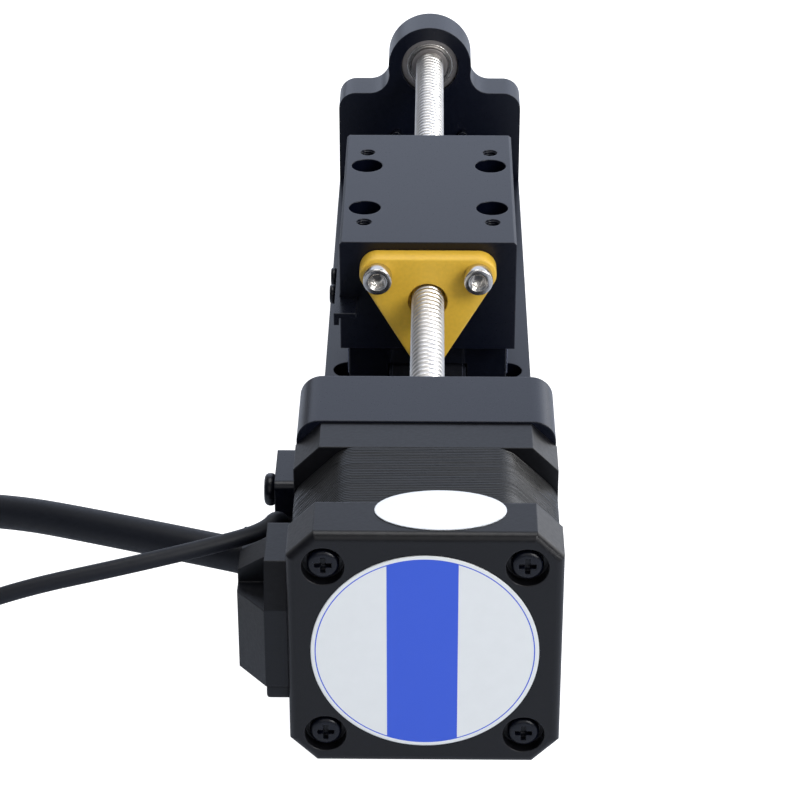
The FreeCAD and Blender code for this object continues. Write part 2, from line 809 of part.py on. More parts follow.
case_seat = f"motor_rear + {case_seat_depth}"
case_length = f"case_screw_engagement - front_cap_length - ({case_seat})"
case_screw = fastener(
    "case_screw", "case_head_diameter", "case_head_height", "m3_shank", case_length
)
case_spots = [(x, f"mount_near + {case_seat}", f"axis_z + {z}") for x, z in MOTOR_CORNERS]
group("motor_case_screws", case_screw, "+y", case_spots)

mounting_screw = socket_screw(
    "mounting_screw", "m3", f"{motor_seat_level} + mount_screw_engagement"
)
mounting_spots = [
    (x, f"mount_near + {motor_seat_level}", f"axis_z + {z}") for x, z in MOTOR_CORNERS
]
group("motor_mounting_screws", mounting_screw, "-y", mounting_spots)


# Motor bearings, one in each cap, and the spring washer behind the rear one
motor_inner_wall = "motor_bearing_bore / 2 + motor_ring_wall"
motor_outer_wall = "motor_bearing_outside / 2 - motor_ring_wall"
BEARING_SPOTS = [
    ("0", f"mount_near + {level}", "axis_z") for level in ("rear_bearing_near", "front_bearing_near")
]


def bearing_ring(label, near_end, length, inner, outer):
    made = new_body(label)
    turned(made, "ring", [ring_loop(near_end, length, inner, outer)])
    return made


motor_outer = bearing_ring(
    "motor_outer_ring", "0", "motor_bearing_width", motor_outer_wall, "motor_bearing_outside / 2"
)
group("motor_bearing_outer_rings", motor_outer, "+y", BEARING_SPOTS)
motor_inner = bearing_ring(
    "motor_inner_ring", "0", "motor_bearing_width", "motor_bearing_bore / 2", motor_inner_wall
)
group("motor_bearing_inner_rings", motor_inner, "+y", BEARING_SPOTS)
motor_shield = bearing_ring(
    "motor_shield",
    "0",
    "motor_bearing_width",
    f"{motor_inner_wall} + running_clearance",
    f"{motor_outer_wall} - press_clearance",
)
group("motor_bearing_shields", motor_shield, "+y", BEARING_SPOTS)

washer = sub_part("motor_wave_washer", at=ON_MOTOR)
washer_section = ring_loop(
    rear_seat,
    "wave_washer_thickness",
    motor_outer_wall,
    "motor_bearing_outside / 2 - loose_clearance",
)
turned(washer, "washer", [washer_section])


# Rotor on the motor end of the lead screw
rotor_middle = "stator_near + stator_length / 2"
rotor_bore = "motor_bearing_bore / 2"
cup_diameter = "stator_bore / 2 - rotor_air_gap"
cup = bearing_ring("rotor_cup", "0", "rotor_cup_length", rotor_bore, cup_diameter)
cup_levels = ["rotor_magnet_length / 2", "-rotor_magnet_length / 2 - rotor_cup_length"]
cup_spots = [("0", f"mount_near + {rotor_middle} + {level}", "axis_z") for level in cup_levels]
group("rotor_cups", cup, "+y", cup_spots)
magnet = sub_part("rotor_magnet", at=ON_MOTOR)
magnet_section = ring_loop(
    f"{rotor_middle} - rotor_magnet_length / 2",
    "rotor_magnet_length",
    rotor_bore,
    "rotor_magnet_diameter / 2",
)
turned(magnet, "magnet", [magnet_section])

lead_screw = sub_part("lead_screw", at=ON_MOTOR)
shaft_radius = "motor_bearing_bore / 2 - press_clearance"
journal_radius = "end_bearing_bore / 2 - press_clearance"
journal_end = "end_bearing_near + end_bearing_width + screw_end_past_bearing"
screw_profile = [
    ("rear_bearing_near", "0"),
    ("rear_bearing_near", shaft_radius),
    ("pilot_height / 2", shaft_radius),
    ("pilot_height / 2", "screw_diameter / 2"),
    ("end_bearing_near", "screw_diameter / 2"),
    ("end_bearing_near", journal_radius),
    (journal_end, journal_radius),
    (journal_end, "0"),
]
turned(lead_screw, "screw", [screw_profile])


# Rail block: a steel saddle that wraps round the rail, plastic end caps and thin seals
def saddle_flank(side):
    """The inside of the saddle on one side, a running gap off the rail, with a ridge in its groove."""
    half = "rail_width / 2"
    middle = "(rail_groove_low + rail_groove_high) / 2"
    ridge = f"{side} * ({half} - rail_groove_depth + slide_clearance)"
    wall = f"{side} * ({half} + slide_clearance)"
    return [
        (ridge, "block_bottom_above_base"),
        (ridge, f"{middle} + rail_groove_floor / 2 - slide_clearance"),
        (wall, "rail_groove_high - slide_clearance"),
        (wall, "rail_height + slide_clearance"),
    ]


def saddle_loop(inset):
    """The section of the block: the outside drawn in by an inset, and the way for the rail."""
    half = f"(block_width / 2 - {inset})"
    top = f"block_top_above_base - {inset}"
    foot = "block_bottom_above_base"
    outside = [(half, foot), (half, top), (f"-{half}", top), (f"-{half}", foot)]
    return outside + saddle_flank("-1") + saddle_flank("1")[::-1]


ON_RAIL = ("0", "carriage_rest", "base_thickness")
BLOCK_HOLES = corners("block_hole_spacing_x", "block_hole_spacing_y")
block = sub_part("guide_block", at=ON_RAIL)
extrude(block, "saddle", "y", [saddle_loop("0")], "-block_steel_length / 2", "block_steel_length")
block_threads = [circle(x, y, "m3_tapped") for x, y in BLOCK_HOLES]
block_thread = "block_screw_engagement + loose_clearance"
block_thread_start = f"block_top_above_base - ({block_thread})"
cut(block, "carriage_threads", "z", block_threads, block_thread_start, block_thread)


def pair_of_ends(label, template, reach):
    """Two copies of an end piece, one on each end of the rail block."""
    doc.recompute()
    copies = []
    for side in (-1, 1):
        copy = template.Shape.copy()
        middle = number(f"carriage_rest + {side} * ({reach})")
        copy.Placement.Base = FreeCAD.Vector(0, middle, number("base_thickness"))
        copies.append(copy)
    made = doc.addObject("Part::Feature", label)
    made.Label = label
    made.Shape = Part.makeCompound(copies)
    SUBPARTS.append(made)


def is_top_edge(middle, edge):
    """The two long outer edges on top of an end piece."""
    at_side = near(abs(middle.x), "block_width / 2 - block_cap_inset")
    return at_side and near(middle.z, "block_top_above_base - block_cap_inset")


def end_piece(label, length):
    made = new_body(label)
    extrude(made, "cap", "y", [saddle_loop("block_cap_inset")], f"-{length} / 2", length)
    soften(made, "top_edges", "Fillet", "block_cap_radius", is_top_edge)
    return made


block_cap = end_piece("block_cap", "block_cap_length")
cap_reach = "(block_steel_length + block_cap_length) / 2"
pair_of_ends("guide_end_caps", block_cap, cap_reach)
block_seal = end_piece("block_seal", "block_seal_thickness")
pair_of_ends("guide_end_seals", block_seal, f"{cap_reach} + (block_cap_length + block_seal_thickness) / 2")


# Carriage on the rail block, bored for the nut and the screw, with a tongue under the nut's lowest screw
ON_CARRIAGE = ("0", "carriage_rest", "axis_z")
NEAR_FACE = "-carriage_length / 2"
CARRIAGE_LOW = "carriage_bottom - axis_z"
PAYLOAD_HOLES = corners("payload_spacing_x", "payload_spacing_y")
NUT_SCREWS = [
    (f"nut_bolt_circle / 2 * cos({turn})", f"nut_bolt_circle / 2 * sin({turn})")
    for turn in (-90, 30, 150)
]
carriage = sub_part("carriage_block", at=ON_CARRIAGE)
carriage_outline = box_loop(
    "-carriage_width / 2", "carriage_width / 2", CARRIAGE_LOW, "carriage_above_axis"
)
extrude(carriage, "block", "y", [carriage_outline], NEAR_FACE, "carriage_length")
soften(
    carriage,
    "top_edges",
    "Chamfer",
    "carriage_edge_chamfer",
    lambda middle, edge: near(middle.z, "carriage_above_axis") and near(middle.y, "0"),
)
tongue = box_loop(
    "-tongue_width / 2",
    "tongue_width / 2",
    "-nut_bolt_circle / 2 - nut_lobe_radius",
    CARRIAGE_LOW,
)
extrude(carriage, "tongue", "y", [tongue], NEAR_FACE, "tongue_thickness")
hub_bore = circle("0", "0", "nut_hub_diameter + 2 * loose_clearance")
cut(carriage, "hub_bore", "y", [hub_bore], NEAR_FACE, "nut_hub_length + loose_clearance")
cut(carriage, "screw_tunnel", "y", [circle("0", "0", "screw_tunnel")], NEAR_FACE, "carriage_length")
nut_threads = [circle(x, z, "m3_tapped") for x, z in NUT_SCREWS]
nut_thread = "nut_screw_length - nut_flange_thickness + loose_clearance"
cut(carriage, "nut_threads", "y", nut_threads, NEAR_FACE, nut_thread)
carriage_bores = [circle(x, y, "m3_clear") for x, y in BLOCK_HOLES]
cut(carriage, "block_bores", "z", carriage_bores, CARRIAGE_LOW, "carriage_floor")
carriage_seats = [circle(x, y, "carriage_counterbore") for x, y in BLOCK_HOLES]
seat_start = f"{CARRIAGE_LOW} + carriage_floor"
seat_depth = f"carriage_above_axis - ({seat_start})"
cut(carriage, "block_counterbores", "z", carriage_seats, seat_start, seat_depth)
payload_threads = [circle(x, y, "m3_tapped") for x, y in PAYLOAD_HOLES]
payload_start = "carriage_above_axis - payload_hole_depth"
cut(carriage, "payload_threads", "z", payload_threads, payload_start, "payload_hole_depth")
FLAG_SCREW_Y = [
    f"{NEAR_FACE} + flag_screw_from_face",
    f"{NEAR_FACE} + flag_screw_from_face + flag_screw_spacing",
]
flag_threads = [circle(y, "-flag_screw_below_axis", "m2_tapped") for y in FLAG_SCREW_Y]
flag_thread = "flag_screw_length - flag_thickness + loose_clearance"
cut(carriage, "flag_threads", "x", flag_threads, "-carriage_width / 2", flag_thread)

carriage_screw = socket_screw("carriage_screw", "m3", "carriage_floor + block_screw_engagement")
carriage_spots = [
    (x, f"carriage_rest + {y}", "carriage_bottom + carriage_floor") for x, y in BLOCK_HOLES
]
group("carriage_screws", carriage_screw, "-z", carriage_spots)


# Lead nut: a triangular flange with rounded corners, and a hub in the carriage's bore
nut = sub_part("lead_nut", at=ON_CARRIAGE)
flange_reach = "(nut_bolt_circle / 2 + 2 * nut_lobe_radius)"
flange = [(f"{flange_reach} * cos({turn})", f"{flange_reach} * sin({turn})") for turn in (-90, 30, 150)]
extrude(nut, "flange", "y", [flange], "nut_face", "nut_flange_thickness")
soften(
    nut,
    "flange_corners",
    "Fillet",
    "nut_lobe_radius",
    lambda middle, edge: near(middle.y, "nut_face + nut_flange_thickness / 2"),
)
soften(
    nut,
    "flange_edge",
    "Chamfer",
    "nut_edge_chamfer",
    lambda middle, edge: near(middle.y, "nut_face"),
)
extrude(nut, "hub", "y", [circle("0", "0", "nut_hub_diameter")], NEAR_FACE, "nut_hub_length")
nut_bore = circle("0", "0", "screw_diameter + 2 * running_clearance")
nut_length = "nut_flange_thickness + nut_hub_length"
cut(nut, "thread_bore", "y", [nut_bore], "nut_face", nut_length)
cut(nut, "mouth", "y", [circle("0", "0", "nut_mouth_diameter")], "nut_face", "nut_mouth_depth")
nut_clear = [circle(x, z, "m3_clear") for x, z in NUT_SCREWS]
cut(nut, "screw_bores", "y", nut_clear, "nut_face", "nut_flange_thickness")

nut_screw = socket_screw("nut_screw", "m3", "nut_screw_length")
nut_spots = [(x, "carriage_rest + nut_face", f"axis_z + {z}") for x, z in NUT_SCREWS]
group("nut_screws", nut_screw, "+y", nut_spots)


# Sensor flag: a bent sheet on the carriage's side, its tab folded in ahead of the carriage
flag = sub_part("sensor_flag", at=("-carriage_width / 2", "carriage_rest", "flag_level"))
flag_side = [
    (f"{NEAR_FACE} - flag_reach", "-flag_blade_height"),
    (NEAR_FACE, "-flag_blade_height"),
    (NEAR_FACE, "-flag_height"),
    (f"{NEAR_FACE} + flag_length", "-flag_height"),
    (f"{NEAR_FACE} + flag_length", "0"),
    (f"{NEAR_FACE} - flag_reach", "0"),
]
extrude(flag, "side", "x", [flag_side], "-flag_thickness", "flag_thickness")
flag_tab = box_loop(
    "-flag_thickness",
    "flag_tab_width - flag_thickness",
    f"{NEAR_FACE} - flag_reach",
    f"{NEAR_FACE} - loose_clearance",
)
extrude(flag, "tab", "z", [flag_tab], "-flag_thickness", "flag_thickness")
flag_screw_level = "axis_z - flag_screw_below_axis - flag_level"
flag_bores = [circle(y, flag_screw_level, "m2_clear") for y in FLAG_SCREW_Y]
cut(flag, "screw_bores", "x", flag_bores, "-flag_thickness", "flag_thickness")

flag_screw = fastener("flag_screw", "m2_head", "m2_head_height", "m2_shank", "flag_screw_length")
flag_spots = [
    ("-carriage_width / 2 - flag_thickness", f"carriage_rest + {y}", "axis_z - flag_screw_below_axis")
    for y in FLAG_SCREW_Y
]
group("flag_screws", flag_screw, "+x", flag_spots)


# Home sensor: a slotted light gate on the mounting plate, with ears for its screws and a cable outlet
sensor = sub_part("home_sensor", at=("-sensor_outset", "mount_far", "sensor_slot_level"))
sensor_face = box_loop("0", "sensor_width", "-sensor_height / 2", "sensor_height / 2")
extrude(sensor, "housing", "y", [sensor_face], "0", "sensor_length")
ear_reach = "(sensor_height / 2 + sensor_ear_height)"
sensor_ears = box_loop("0", "sensor_width", f"-{ear_reach}", ear_reach)
extrude(sensor, "ears", "y", [sensor_ears], "0", "sensor_ear_thickness")
outlet_middle = "(axis_z - sensor_slot_level)"
outlet = box_loop(
    "-sensor_outlet_width",
    "0",
    f"{outlet_middle} - sensor_outlet_height / 2",
    f"{outlet_middle} + sensor_outlet_height / 2",
)
extrude(sensor, "cable_outlet", "y", [outlet], "0", "sensor_outlet_length")
slot_side = box_loop(
    "sensor_length - sensor_slot_depth",
    "sensor_length",
    "-sensor_slot_height / 2",
    "sensor_slot_height / 2",
)
cut(sensor, "light_slot", "x", [slot_side], "0", "sensor_width")
EAR_LEVELS = [f"{side} * (sensor_height + sensor_ear_height) / 2" for side in ("-1", "1")]
ear_bores = [circle("sensor_width / 2", z, "m2_clear") for z in EAR_LEVELS]
cut(sensor, "screw_bores", "y", ear_bores, "0", "sensor_ear_thickness")

sensor_screw = fastener(
    "sensor_screw", "m2_head", "m2_head_height", "m2_shank", "sensor_screw_length"
)
sensor_spots = [
    (SENSOR_X, "mount_far + sensor_ear_thickness", f"sensor_slot_level + {z}") for z in EAR_LEVELS
]
group("sensor_screws", sensor_screw, "-y", sensor_spots)


# Clamp that holds the sensor's cable against the mounting plate
clamp = sub_part("sensor_cable_clamp", at=("clamp_wall", "clamp_middle", "axis_z"))
clamp_side = box_loop("-clamp_length / 2", "clamp_length / 2", "-clamp_height / 2", "clamp_height / 2")
extrude(clamp, "block", "x", [clamp_side], "-clamp_thickness", "clamp_thickness")
soften(
    clamp,
    "corners",
    "Fillet",
    "clamp_corner_radius",
    lambda middle, edge: near(middle.x, "-clamp_thickness / 2"),
)
groove_half = "(sensor_cable_diameter / 2 + loose_clearance)"
cable_groove = box_loop(f"-2 * {groove_half}", "0", f"-{groove_half}", groove_half)
cut(clamp, "cable_groove", "y", [cable_groove], "-clamp_length / 2", "clamp_length")
clamp_bores = [circle("0", f"{side} * clamp_screw_pitch / 2", "m3_clear") for side in ("-1", "1")]
cut(clamp, "screw_bores", "x", clamp_bores, "-clamp_thickness", "clamp_thickness")

clamp_screw = fastener("clamp_screw", "m3_head", "m3_pan_height", "m3_shank", "clamp_screw_length")
clamp_spots = [
    ("clamp_wall - clamp_thickness", "clamp_middle", f"axis_z + {side} * clamp_screw_pitch / 2")
    for side in ("-1", "1")
]
group("clamp_screws", clamp_screw, "+x", clamp_spots)


# Cable hood on the motor's side: a faceted box, a leaning upper part, a sloping boss and a lower lip
hood = sub_part("cable_hood", at=("hood_wall", "mount_near", "axis_z"))
hood_plan = [
    ("0", "hood_near"),
    ("-hood_inner_reach", "hood_near"),
    ("-hood_reach", "hood_near + hood_bevel_length"),
    ("-hood_reach", "hood_far"),
    ("0", "hood_far"),
]
hood_height = "hood_lower_below_axis + hood_deck_above_axis"
extrude(hood, "lower_box", "z", [hood_plan], "-hood_lower_below_axis", hood_height)
hood_upper = [
    ("hood_near", "hood_deck_above_axis"),
    ("-hood_upper_far", "hood_deck_above_axis"),
    ("-hood_upper_far", "hood_top_above_axis"),
    ("hood_near + hood_lean", "hood_top_above_axis"),
]
extrude(hood, "upper_box", "x", [hood_upper], "-hood_inner_reach", "hood_inner_reach")
hood_boss = [
    ("-hood_reach", "hood_deck_above_axis"),
    ("-hood_inner_reach", "hood_deck_above_axis"),
    ("-hood_inner_reach", "hood_boss_inner_height"),
    ("-hood_reach", "hood_boss_outer_height"),
]
extrude(hood, "boss", "y", [hood_boss], "-hood_upper_far - hood_boss_length", "hood_boss_length")
hood_lip = box_loop("-hood_lip_reach", "0", "hood_near + hood_bevel_length", "hood_far")
lip_level = "-hood_lower_below_axis - hood_lip_height"
extrude(hood, "lip", "z", [hood_lip], lip_level, "hood_lip_height")


# Blank labels: a round one on the motor's rear face and an oval one on its top
rear_label = sub_part("motor_label", at=ON_MOTOR)
label_start = "motor_rear - label_thickness"
extrude(rear_label, "disc", "y", [circle("0", "0", "label_diameter")], label_start, "label_thickness")

oval = doc.addObject("Part::Ellipse", "oval")
bind(oval, "MajorRadius", "top_label_width / 2")
bind(oval, "MinorRadius", "top_label_length / 2")
top_label = doc.addObject("Part::Extrusion", "top_label")
top_label.Label = "top_label"
top_label.Base = oval
top_label.DirMode = "Custom"
top_label.Dir = FreeCAD.Vector(0, 0, 1)
bind(top_label, "LengthFwd", "label_thickness")
top_label.Solid = True
top_label_y = "mount_near + motor_rear + top_label_from_rear"
put(top_label, ("top_label_offset_x", top_label_y, "axis_z + motor_width / 2"))
SUBPARTS.append(top_label)


# Cables: straight runs joined by tangent arcs, through points chosen by hand
ARC_SHARE = 0.45
MOTOR_CABLE = [
    (-27.5, -120.3, 41.05),
    (-50.1, -111.0, 40.3),
    (-71.8, -98.9, 37.0),
    (-92.0, -87.0, 29.0),
    (-107.5, -77.5, 17.5),
    (-122.0, -69.8, 7.6),
    (-137.0, -69.2, 3.2),
    (-151.0, -76.0, 2.95),
    (-161.8, -90.0, 2.95),
    (-164.9, -107.6, 2.95),
    (-159.4, -124.6, 2.95),
    (-146.5, -136.4, 2.95),
    (-129.3, -141.0, 2.95),
    (-111.8, -137.6, 2.95),
    (-98.1, -126.7, 2.95),
]
SENSOR_CABLE = [
    (-22.45, -93.5, 38.4),
    (-22.45, -108.2, 38.4),
    (-22.9, -113.0, 45.4),
    (-25.7, -119.6, 46.0),
    (-31.4, -124.0, 46.5),
    (-46.3, -129.2, 45.4),
    (-66.0, -132.4, 42.3),
    (-84.0, -135.6, 35.8),
    (-101.0, -136.0, 24.5),
    (-115.0, -132.0, 11.5),
    (-128.5, -129.0, 3.4),
    (-140.3, -123.6, 1.4),
    (-147.5, -115.1, 1.4),
    (-149.4, -104.1, 1.4),
    (-145.6, -93.7, 1.4),
    (-137.1, -86.5, 1.4),
    (-126.1, -84.6, 1.4),
    (-115.7, -88.4, 1.4),
    (-108.5, -96.9, 1.4),
    (-106.6, -107.9, 1.4),
]


def cable_path(points):
    """A wire of straight runs and tangent arcs, and the tightest radius along it."""
    spots = [FreeCAD.Vector(*point) for point in points]
    edges = []
    radii = []
    start = spots[0]
    for before, corner, after in zip(spots, spots[1:], spots[2:]):
        back = before - corner
        ahead = after - corner
        setback = ARC_SHARE * min(back.Length, ahead.Length)
        half_turn = (math.pi - back.getAngle(ahead)) / 2
        radius = setback / math.tan(half_turn)
        back.normalize()
        ahead.normalize()
        inward = back + ahead
        inward.normalize()
        middle = corner + inward * (radius / math.cos(half_turn) - radius)
        arc_start = corner + back * setback
        arc_end = corner + ahead * setback
        edges.append(Part.LineSegment(start, arc_start).toShape())
        edges.append(Part.Arc(arc_start, middle, arc_end).toShape())
        radii.append(radius)
        start = arc_end
    edges.append(Part.LineSegment(start, spots[-1]).toShape())
    return Part.Wire(edges), radii


def cable(label, points, diameter):
    """A round tube along a path, whose volume has to be its section times its length."""
    path, radii = cable_path(points)
    across = number(diameter)
    along = FreeCAD.Vector(*points[1]) - FreeCAD.Vector(*points[0])
    section = Part.Wire(Part.Circle(FreeCAD.Vector(*points[0]), along, across / 2).toShape())
    tube = path.makePipeShell([section], True, False)
    expected = math.pi * across**2 / 4 * path.Length
    if abs(tube.Volume - expected) > 0.01 * expected:
        raise RuntimeError(f"{label}: the tube's volume is wrong")
    radii_text = ", ".join(f"{radius:.1f}" for radius in radii)
    print(f"{label}: length {path.Length:.1f}, radii {radii_text}")
    made = doc.addObject("Part::Feature", label)
    made.Label = label
    made.Shape = tube
    SUBPARTS.append(made)


def plug(label, points, size):
    """A plug on the end of a cable, in line with its last run and resting on the floor."""
    end_point = FreeCAD.Vector(*points[-1])
    along = end_point - FreeCAD.Vector(*points[-2])
    made = sub_part(label, at=(str(end_point.x), str(end_point.y), "0"))
    half_width = f"{size}_width / 2"
    face = box_loop(f"-{half_width}", half_width, "0", f"{size}_height")
    extrude(made, "housing", "y", [face], "0", f"{size}_length")
    latch_half = f"({half_width} - plug_latch_inset)"
    latch_top = f"{size}_height + plug_latch_height"
    latch = box_loop(f"-{latch_half}", latch_half, f"{size}_height", latch_top)
    extrude(made, "latch", "y", [latch], "plug_latch_inset", f"{size}_length - 2 * plug_latch_inset")
    heading = math.degrees(math.atan2(-along.x, along.y))
    made.Placement.Rotation = FreeCAD.Rotation(FreeCAD.Vector(0, 0, 1), heading)


cable("motor_cable", MOTOR_CABLE, "motor_cable_diameter")
plug("motor_cable_plug", MOTOR_CABLE, "motor_plug")
cable("sensor_cable", SENSOR_CABLE, "sensor_cable_diameter")
plug("sensor_cable_plug", SENSOR_CABLE, "sensor_plug")


doc.recompute()
for item in doc.Objects:
    if "Invalid" in item.State or "Error" in item.State:
        raise RuntimeError(f"{item.Label} failed: {item.State}")
for item in SUBPARTS:
    if item.Shape.isNull() or not item.Shape.isValid():
        raise RuntimeError(f"{item.Label} has no valid shape")
os.makedirs("parts", exist_ok=True)
for item in SUBPARTS:
    item.Shape.exportStep(f"parts/{item.Label}.step")
print(f"{len(SUBPARTS)} sub-parts written")
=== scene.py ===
# %% [markdown]
# # A lead screw linear actuator
# A square stepper motor turns a threaded rod. A yellow plastic nut rides on the thread and pulls a black
# carriage along a steel rail, and a bearing at the far end holds the rod's tip. The solids come in as a
# fixed frame in metres, with their moving bodies. This lesson gives them their finishes and adds what is
# too fine for the solids: the thread, the screw heads, the motor's thin steel sheets, and the cables.

# %% Load the frame
import json
import math

import bpy
from mathutils import Matrix, Vector

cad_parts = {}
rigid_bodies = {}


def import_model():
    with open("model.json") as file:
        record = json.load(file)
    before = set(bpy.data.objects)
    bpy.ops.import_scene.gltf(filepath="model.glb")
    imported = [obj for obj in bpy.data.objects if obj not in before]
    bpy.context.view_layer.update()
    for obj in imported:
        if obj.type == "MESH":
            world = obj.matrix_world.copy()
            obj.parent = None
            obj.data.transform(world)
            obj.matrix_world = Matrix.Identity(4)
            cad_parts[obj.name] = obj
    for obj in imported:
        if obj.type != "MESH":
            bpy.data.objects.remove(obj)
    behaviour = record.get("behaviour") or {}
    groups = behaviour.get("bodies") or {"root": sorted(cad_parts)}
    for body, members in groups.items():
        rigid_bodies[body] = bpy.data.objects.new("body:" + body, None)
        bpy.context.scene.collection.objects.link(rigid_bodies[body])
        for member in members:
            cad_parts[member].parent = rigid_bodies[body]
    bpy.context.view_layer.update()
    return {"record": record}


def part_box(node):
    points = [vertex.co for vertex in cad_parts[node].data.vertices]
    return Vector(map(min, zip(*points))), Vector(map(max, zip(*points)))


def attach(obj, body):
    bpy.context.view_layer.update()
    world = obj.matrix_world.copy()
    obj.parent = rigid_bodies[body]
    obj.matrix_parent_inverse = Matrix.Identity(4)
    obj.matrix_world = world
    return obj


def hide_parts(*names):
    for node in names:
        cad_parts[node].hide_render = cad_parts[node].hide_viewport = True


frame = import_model()
MM = 0.001

# %% [markdown]
# ## Camera
# The picture was taken with a long lens, from behind the motor and above it. A long lens keeps the far
# end of the rail almost as wide as the near end. The numbers were found by fitting a camera to the
# motor's square face and the edges of the plates, so the camera is set by place, heading and lens, with
# no target object.

# %% Camera
CAMERA_PLACE = Vector((0.85, -486.72, 275.87)) * MM
CAMERA_DOWN = math.radians(29.278)
CAMERA_HEADING = math.radians(-0.769)
CAMERA_ROLL = math.radians(-0.067)

lens = bpy.data.cameras.new("photo_camera")
lens.sensor_width = 36.0
lens.lens = 121.75
camera = bpy.data.objects.new("photo_camera", lens)
bpy.context.collection.objects.link(camera)
turn = Matrix.Rotation(-CAMERA_HEADING, 4, "Z")
tilt = Matrix.Rotation(math.pi / 2 - CAMERA_DOWN, 4, "X")
roll = Matrix.Rotation(CAMERA_ROLL, 4, "Z")
camera.matrix_world = Matrix.Translation(CAMERA_PLACE) @ turn @ tilt @ roll
bpy.context.scene.camera = camera
bpy.context.scene.view_settings.view_transform = "Standard"
print("camera lens:", lens.lens)

# %% [markdown]
# ## Shared effects
# Nearly all of this machine is black, and it still has to read as several things: blasted and anodised
# aluminium, painted steel sheets, moulded plastic and rubber. What sets them apart is the grain, and how
# it spreads a reflection. Four node groups are shared: an even grain, a grain drawn out along the rail
# for ground metal, a grain that differs from one steel sheet to the next, and a soft edge, which rounds
# the look of sharp corners and marks them to be painted lighter, partly as wear rubbed bright and partly
# as a painted edge highlight.


# %% Grain group
def new_group(name, inputs, outputs):
    """An empty shader group: inputs with their values, and outputs with their socket types."""
    group = bpy.data.node_groups.new(name, "ShaderNodeTree")
    for label, value in inputs:
        socket = group.interface.new_socket(name=label, in_out="INPUT", socket_type="NodeSocketFloat")
        socket.default_value = value
    for label, kind in outputs:
        group.interface.new_socket(name=label, in_out="OUTPUT", socket_type=kind)
    return group, group.nodes.new, group.links.new


def grain_group(name, stretch):
    """Noise on the piece's own coordinates, as a shade about one and as a height."""
    outputs = [("Shade", "NodeSocketFloat"), ("Height", "NodeSocketFloat")]
    group, new, link = new_group(name, [("Scale", 1500.0), ("Amount", 0.1)], outputs)
    entry = new("NodeGroupInput")
    leave = new("NodeGroupOutput")
    where = new("ShaderNodeTexCoord")
    mapping = new("ShaderNodeMapping")
    mapping.inputs["Scale"].default_value = stretch
    noise = new("ShaderNodeTexNoise")
    noise.inputs["Detail"].default_value = 3.0
    spread = new("ShaderNodeMapRange")
    spread.inputs["From Min"].default_value = 0.3
    spread.inputs["From Max"].default_value = 0.7
    lowest = new("ShaderNodeMath")
    lowest.operation = "SUBTRACT"
    lowest.inputs[0].default_value = 1.0
    highest = new("ShaderNodeMath")
    highest.operation = "ADD"
    highest.inputs[0].default_value = 1.0
    link(where.outputs["Object"], mapping.inputs["Vector"])
    link(mapping.outputs["Vector"], noise.inputs["Vector"])
    link(entry.outputs["Scale"], noise.inputs["Scale"])
    link(noise.outputs["Fac"], spread.inputs["Value"])
    link(entry.outputs["Amount"], lowest.inputs[1])
    link(entry.outputs["Amount"], highest.inputs[1])
    link(lowest.outputs[0], spread.inputs["To Min"])
    link(highest.outputs[0], spread.inputs["To Max"])
    link(spread.outputs["Result"], leave.inputs["Shade"])
    link(noise.outputs["Fac"], leave.inputs["Height"])
    return group


EVEN_GRAIN = grain_group("even_grain", (1, 1, 1))
LONG_GRAIN = grain_group("long_grain", (1, 0.03, 1))
SHEET_GRAIN = grain_group("sheet_grain", (0.04, 1, 0.04))
print("grain groups:", EVEN_GRAIN.name, LONG_GRAIN.name, SHEET_GRAIN.name)

# %% Soft edge group
CORNER_RADIUS = 0.3 * MM


def soft_edge_group():
    """A rounded normal at sharp corners, and a mask of how far it turns from the true one, used to paint
    corners lighter as wear and as a painted highlight.
    """
    outputs = [("Normal", "NodeSocketVector"), ("Edge", "NodeSocketFloat")]
    group, new, link = new_group("soft_edge", [("Radius", CORNER_RADIUS)], outputs)
    entry = new("NodeGroupInput")
    leave = new("NodeGroupOutput")
    rounded = new("ShaderNodeBevel")
    rounded.samples = 6
    flat = new("ShaderNodeNewGeometry")
    agree = new("ShaderNodeVectorMath")
    agree.operation = "DOT_PRODUCT"
    mask = new("ShaderNodeMapRange")
    mask.inputs["From Min"].default_value = 0.995
    mask.inputs["From Max"].default_value = 0.80
    link(entry.outputs["Radius"], rounded.inputs["Radius"])
    link(rounded.outputs["Normal"], leave.inputs["Normal"])
    link(rounded.outputs["Normal"], agree.inputs[0])
    link(flat.outputs["Normal"], agree.inputs[1])
    link(agree.outputs["Value"], mask.inputs["Value"])
    link(mask.outputs["Result"], leave.inputs["Edge"])
    return group


SOFT_EDGE = soft_edge_group()
print("edge group:", SOFT_EDGE.name)

# %% [markdown]
# ## Finishes
# Each finish is a Principled shader whose colour and roughness follow a grain, with a slight bump from
# it, and whose corners are painted a little lighter, partly as wear rubbed bright and partly as a painted
# edge highlight. Black anodising is almost without colour of its own: what is seen of it is its sheen, so
# its base colour is very dark and its roughness does the work.

# %% Finish maker
GRAIN_DEPTH = 0.2 * MM
CORNER_WEAR_AND_HIGHLIGHT_LIFT = 0.01


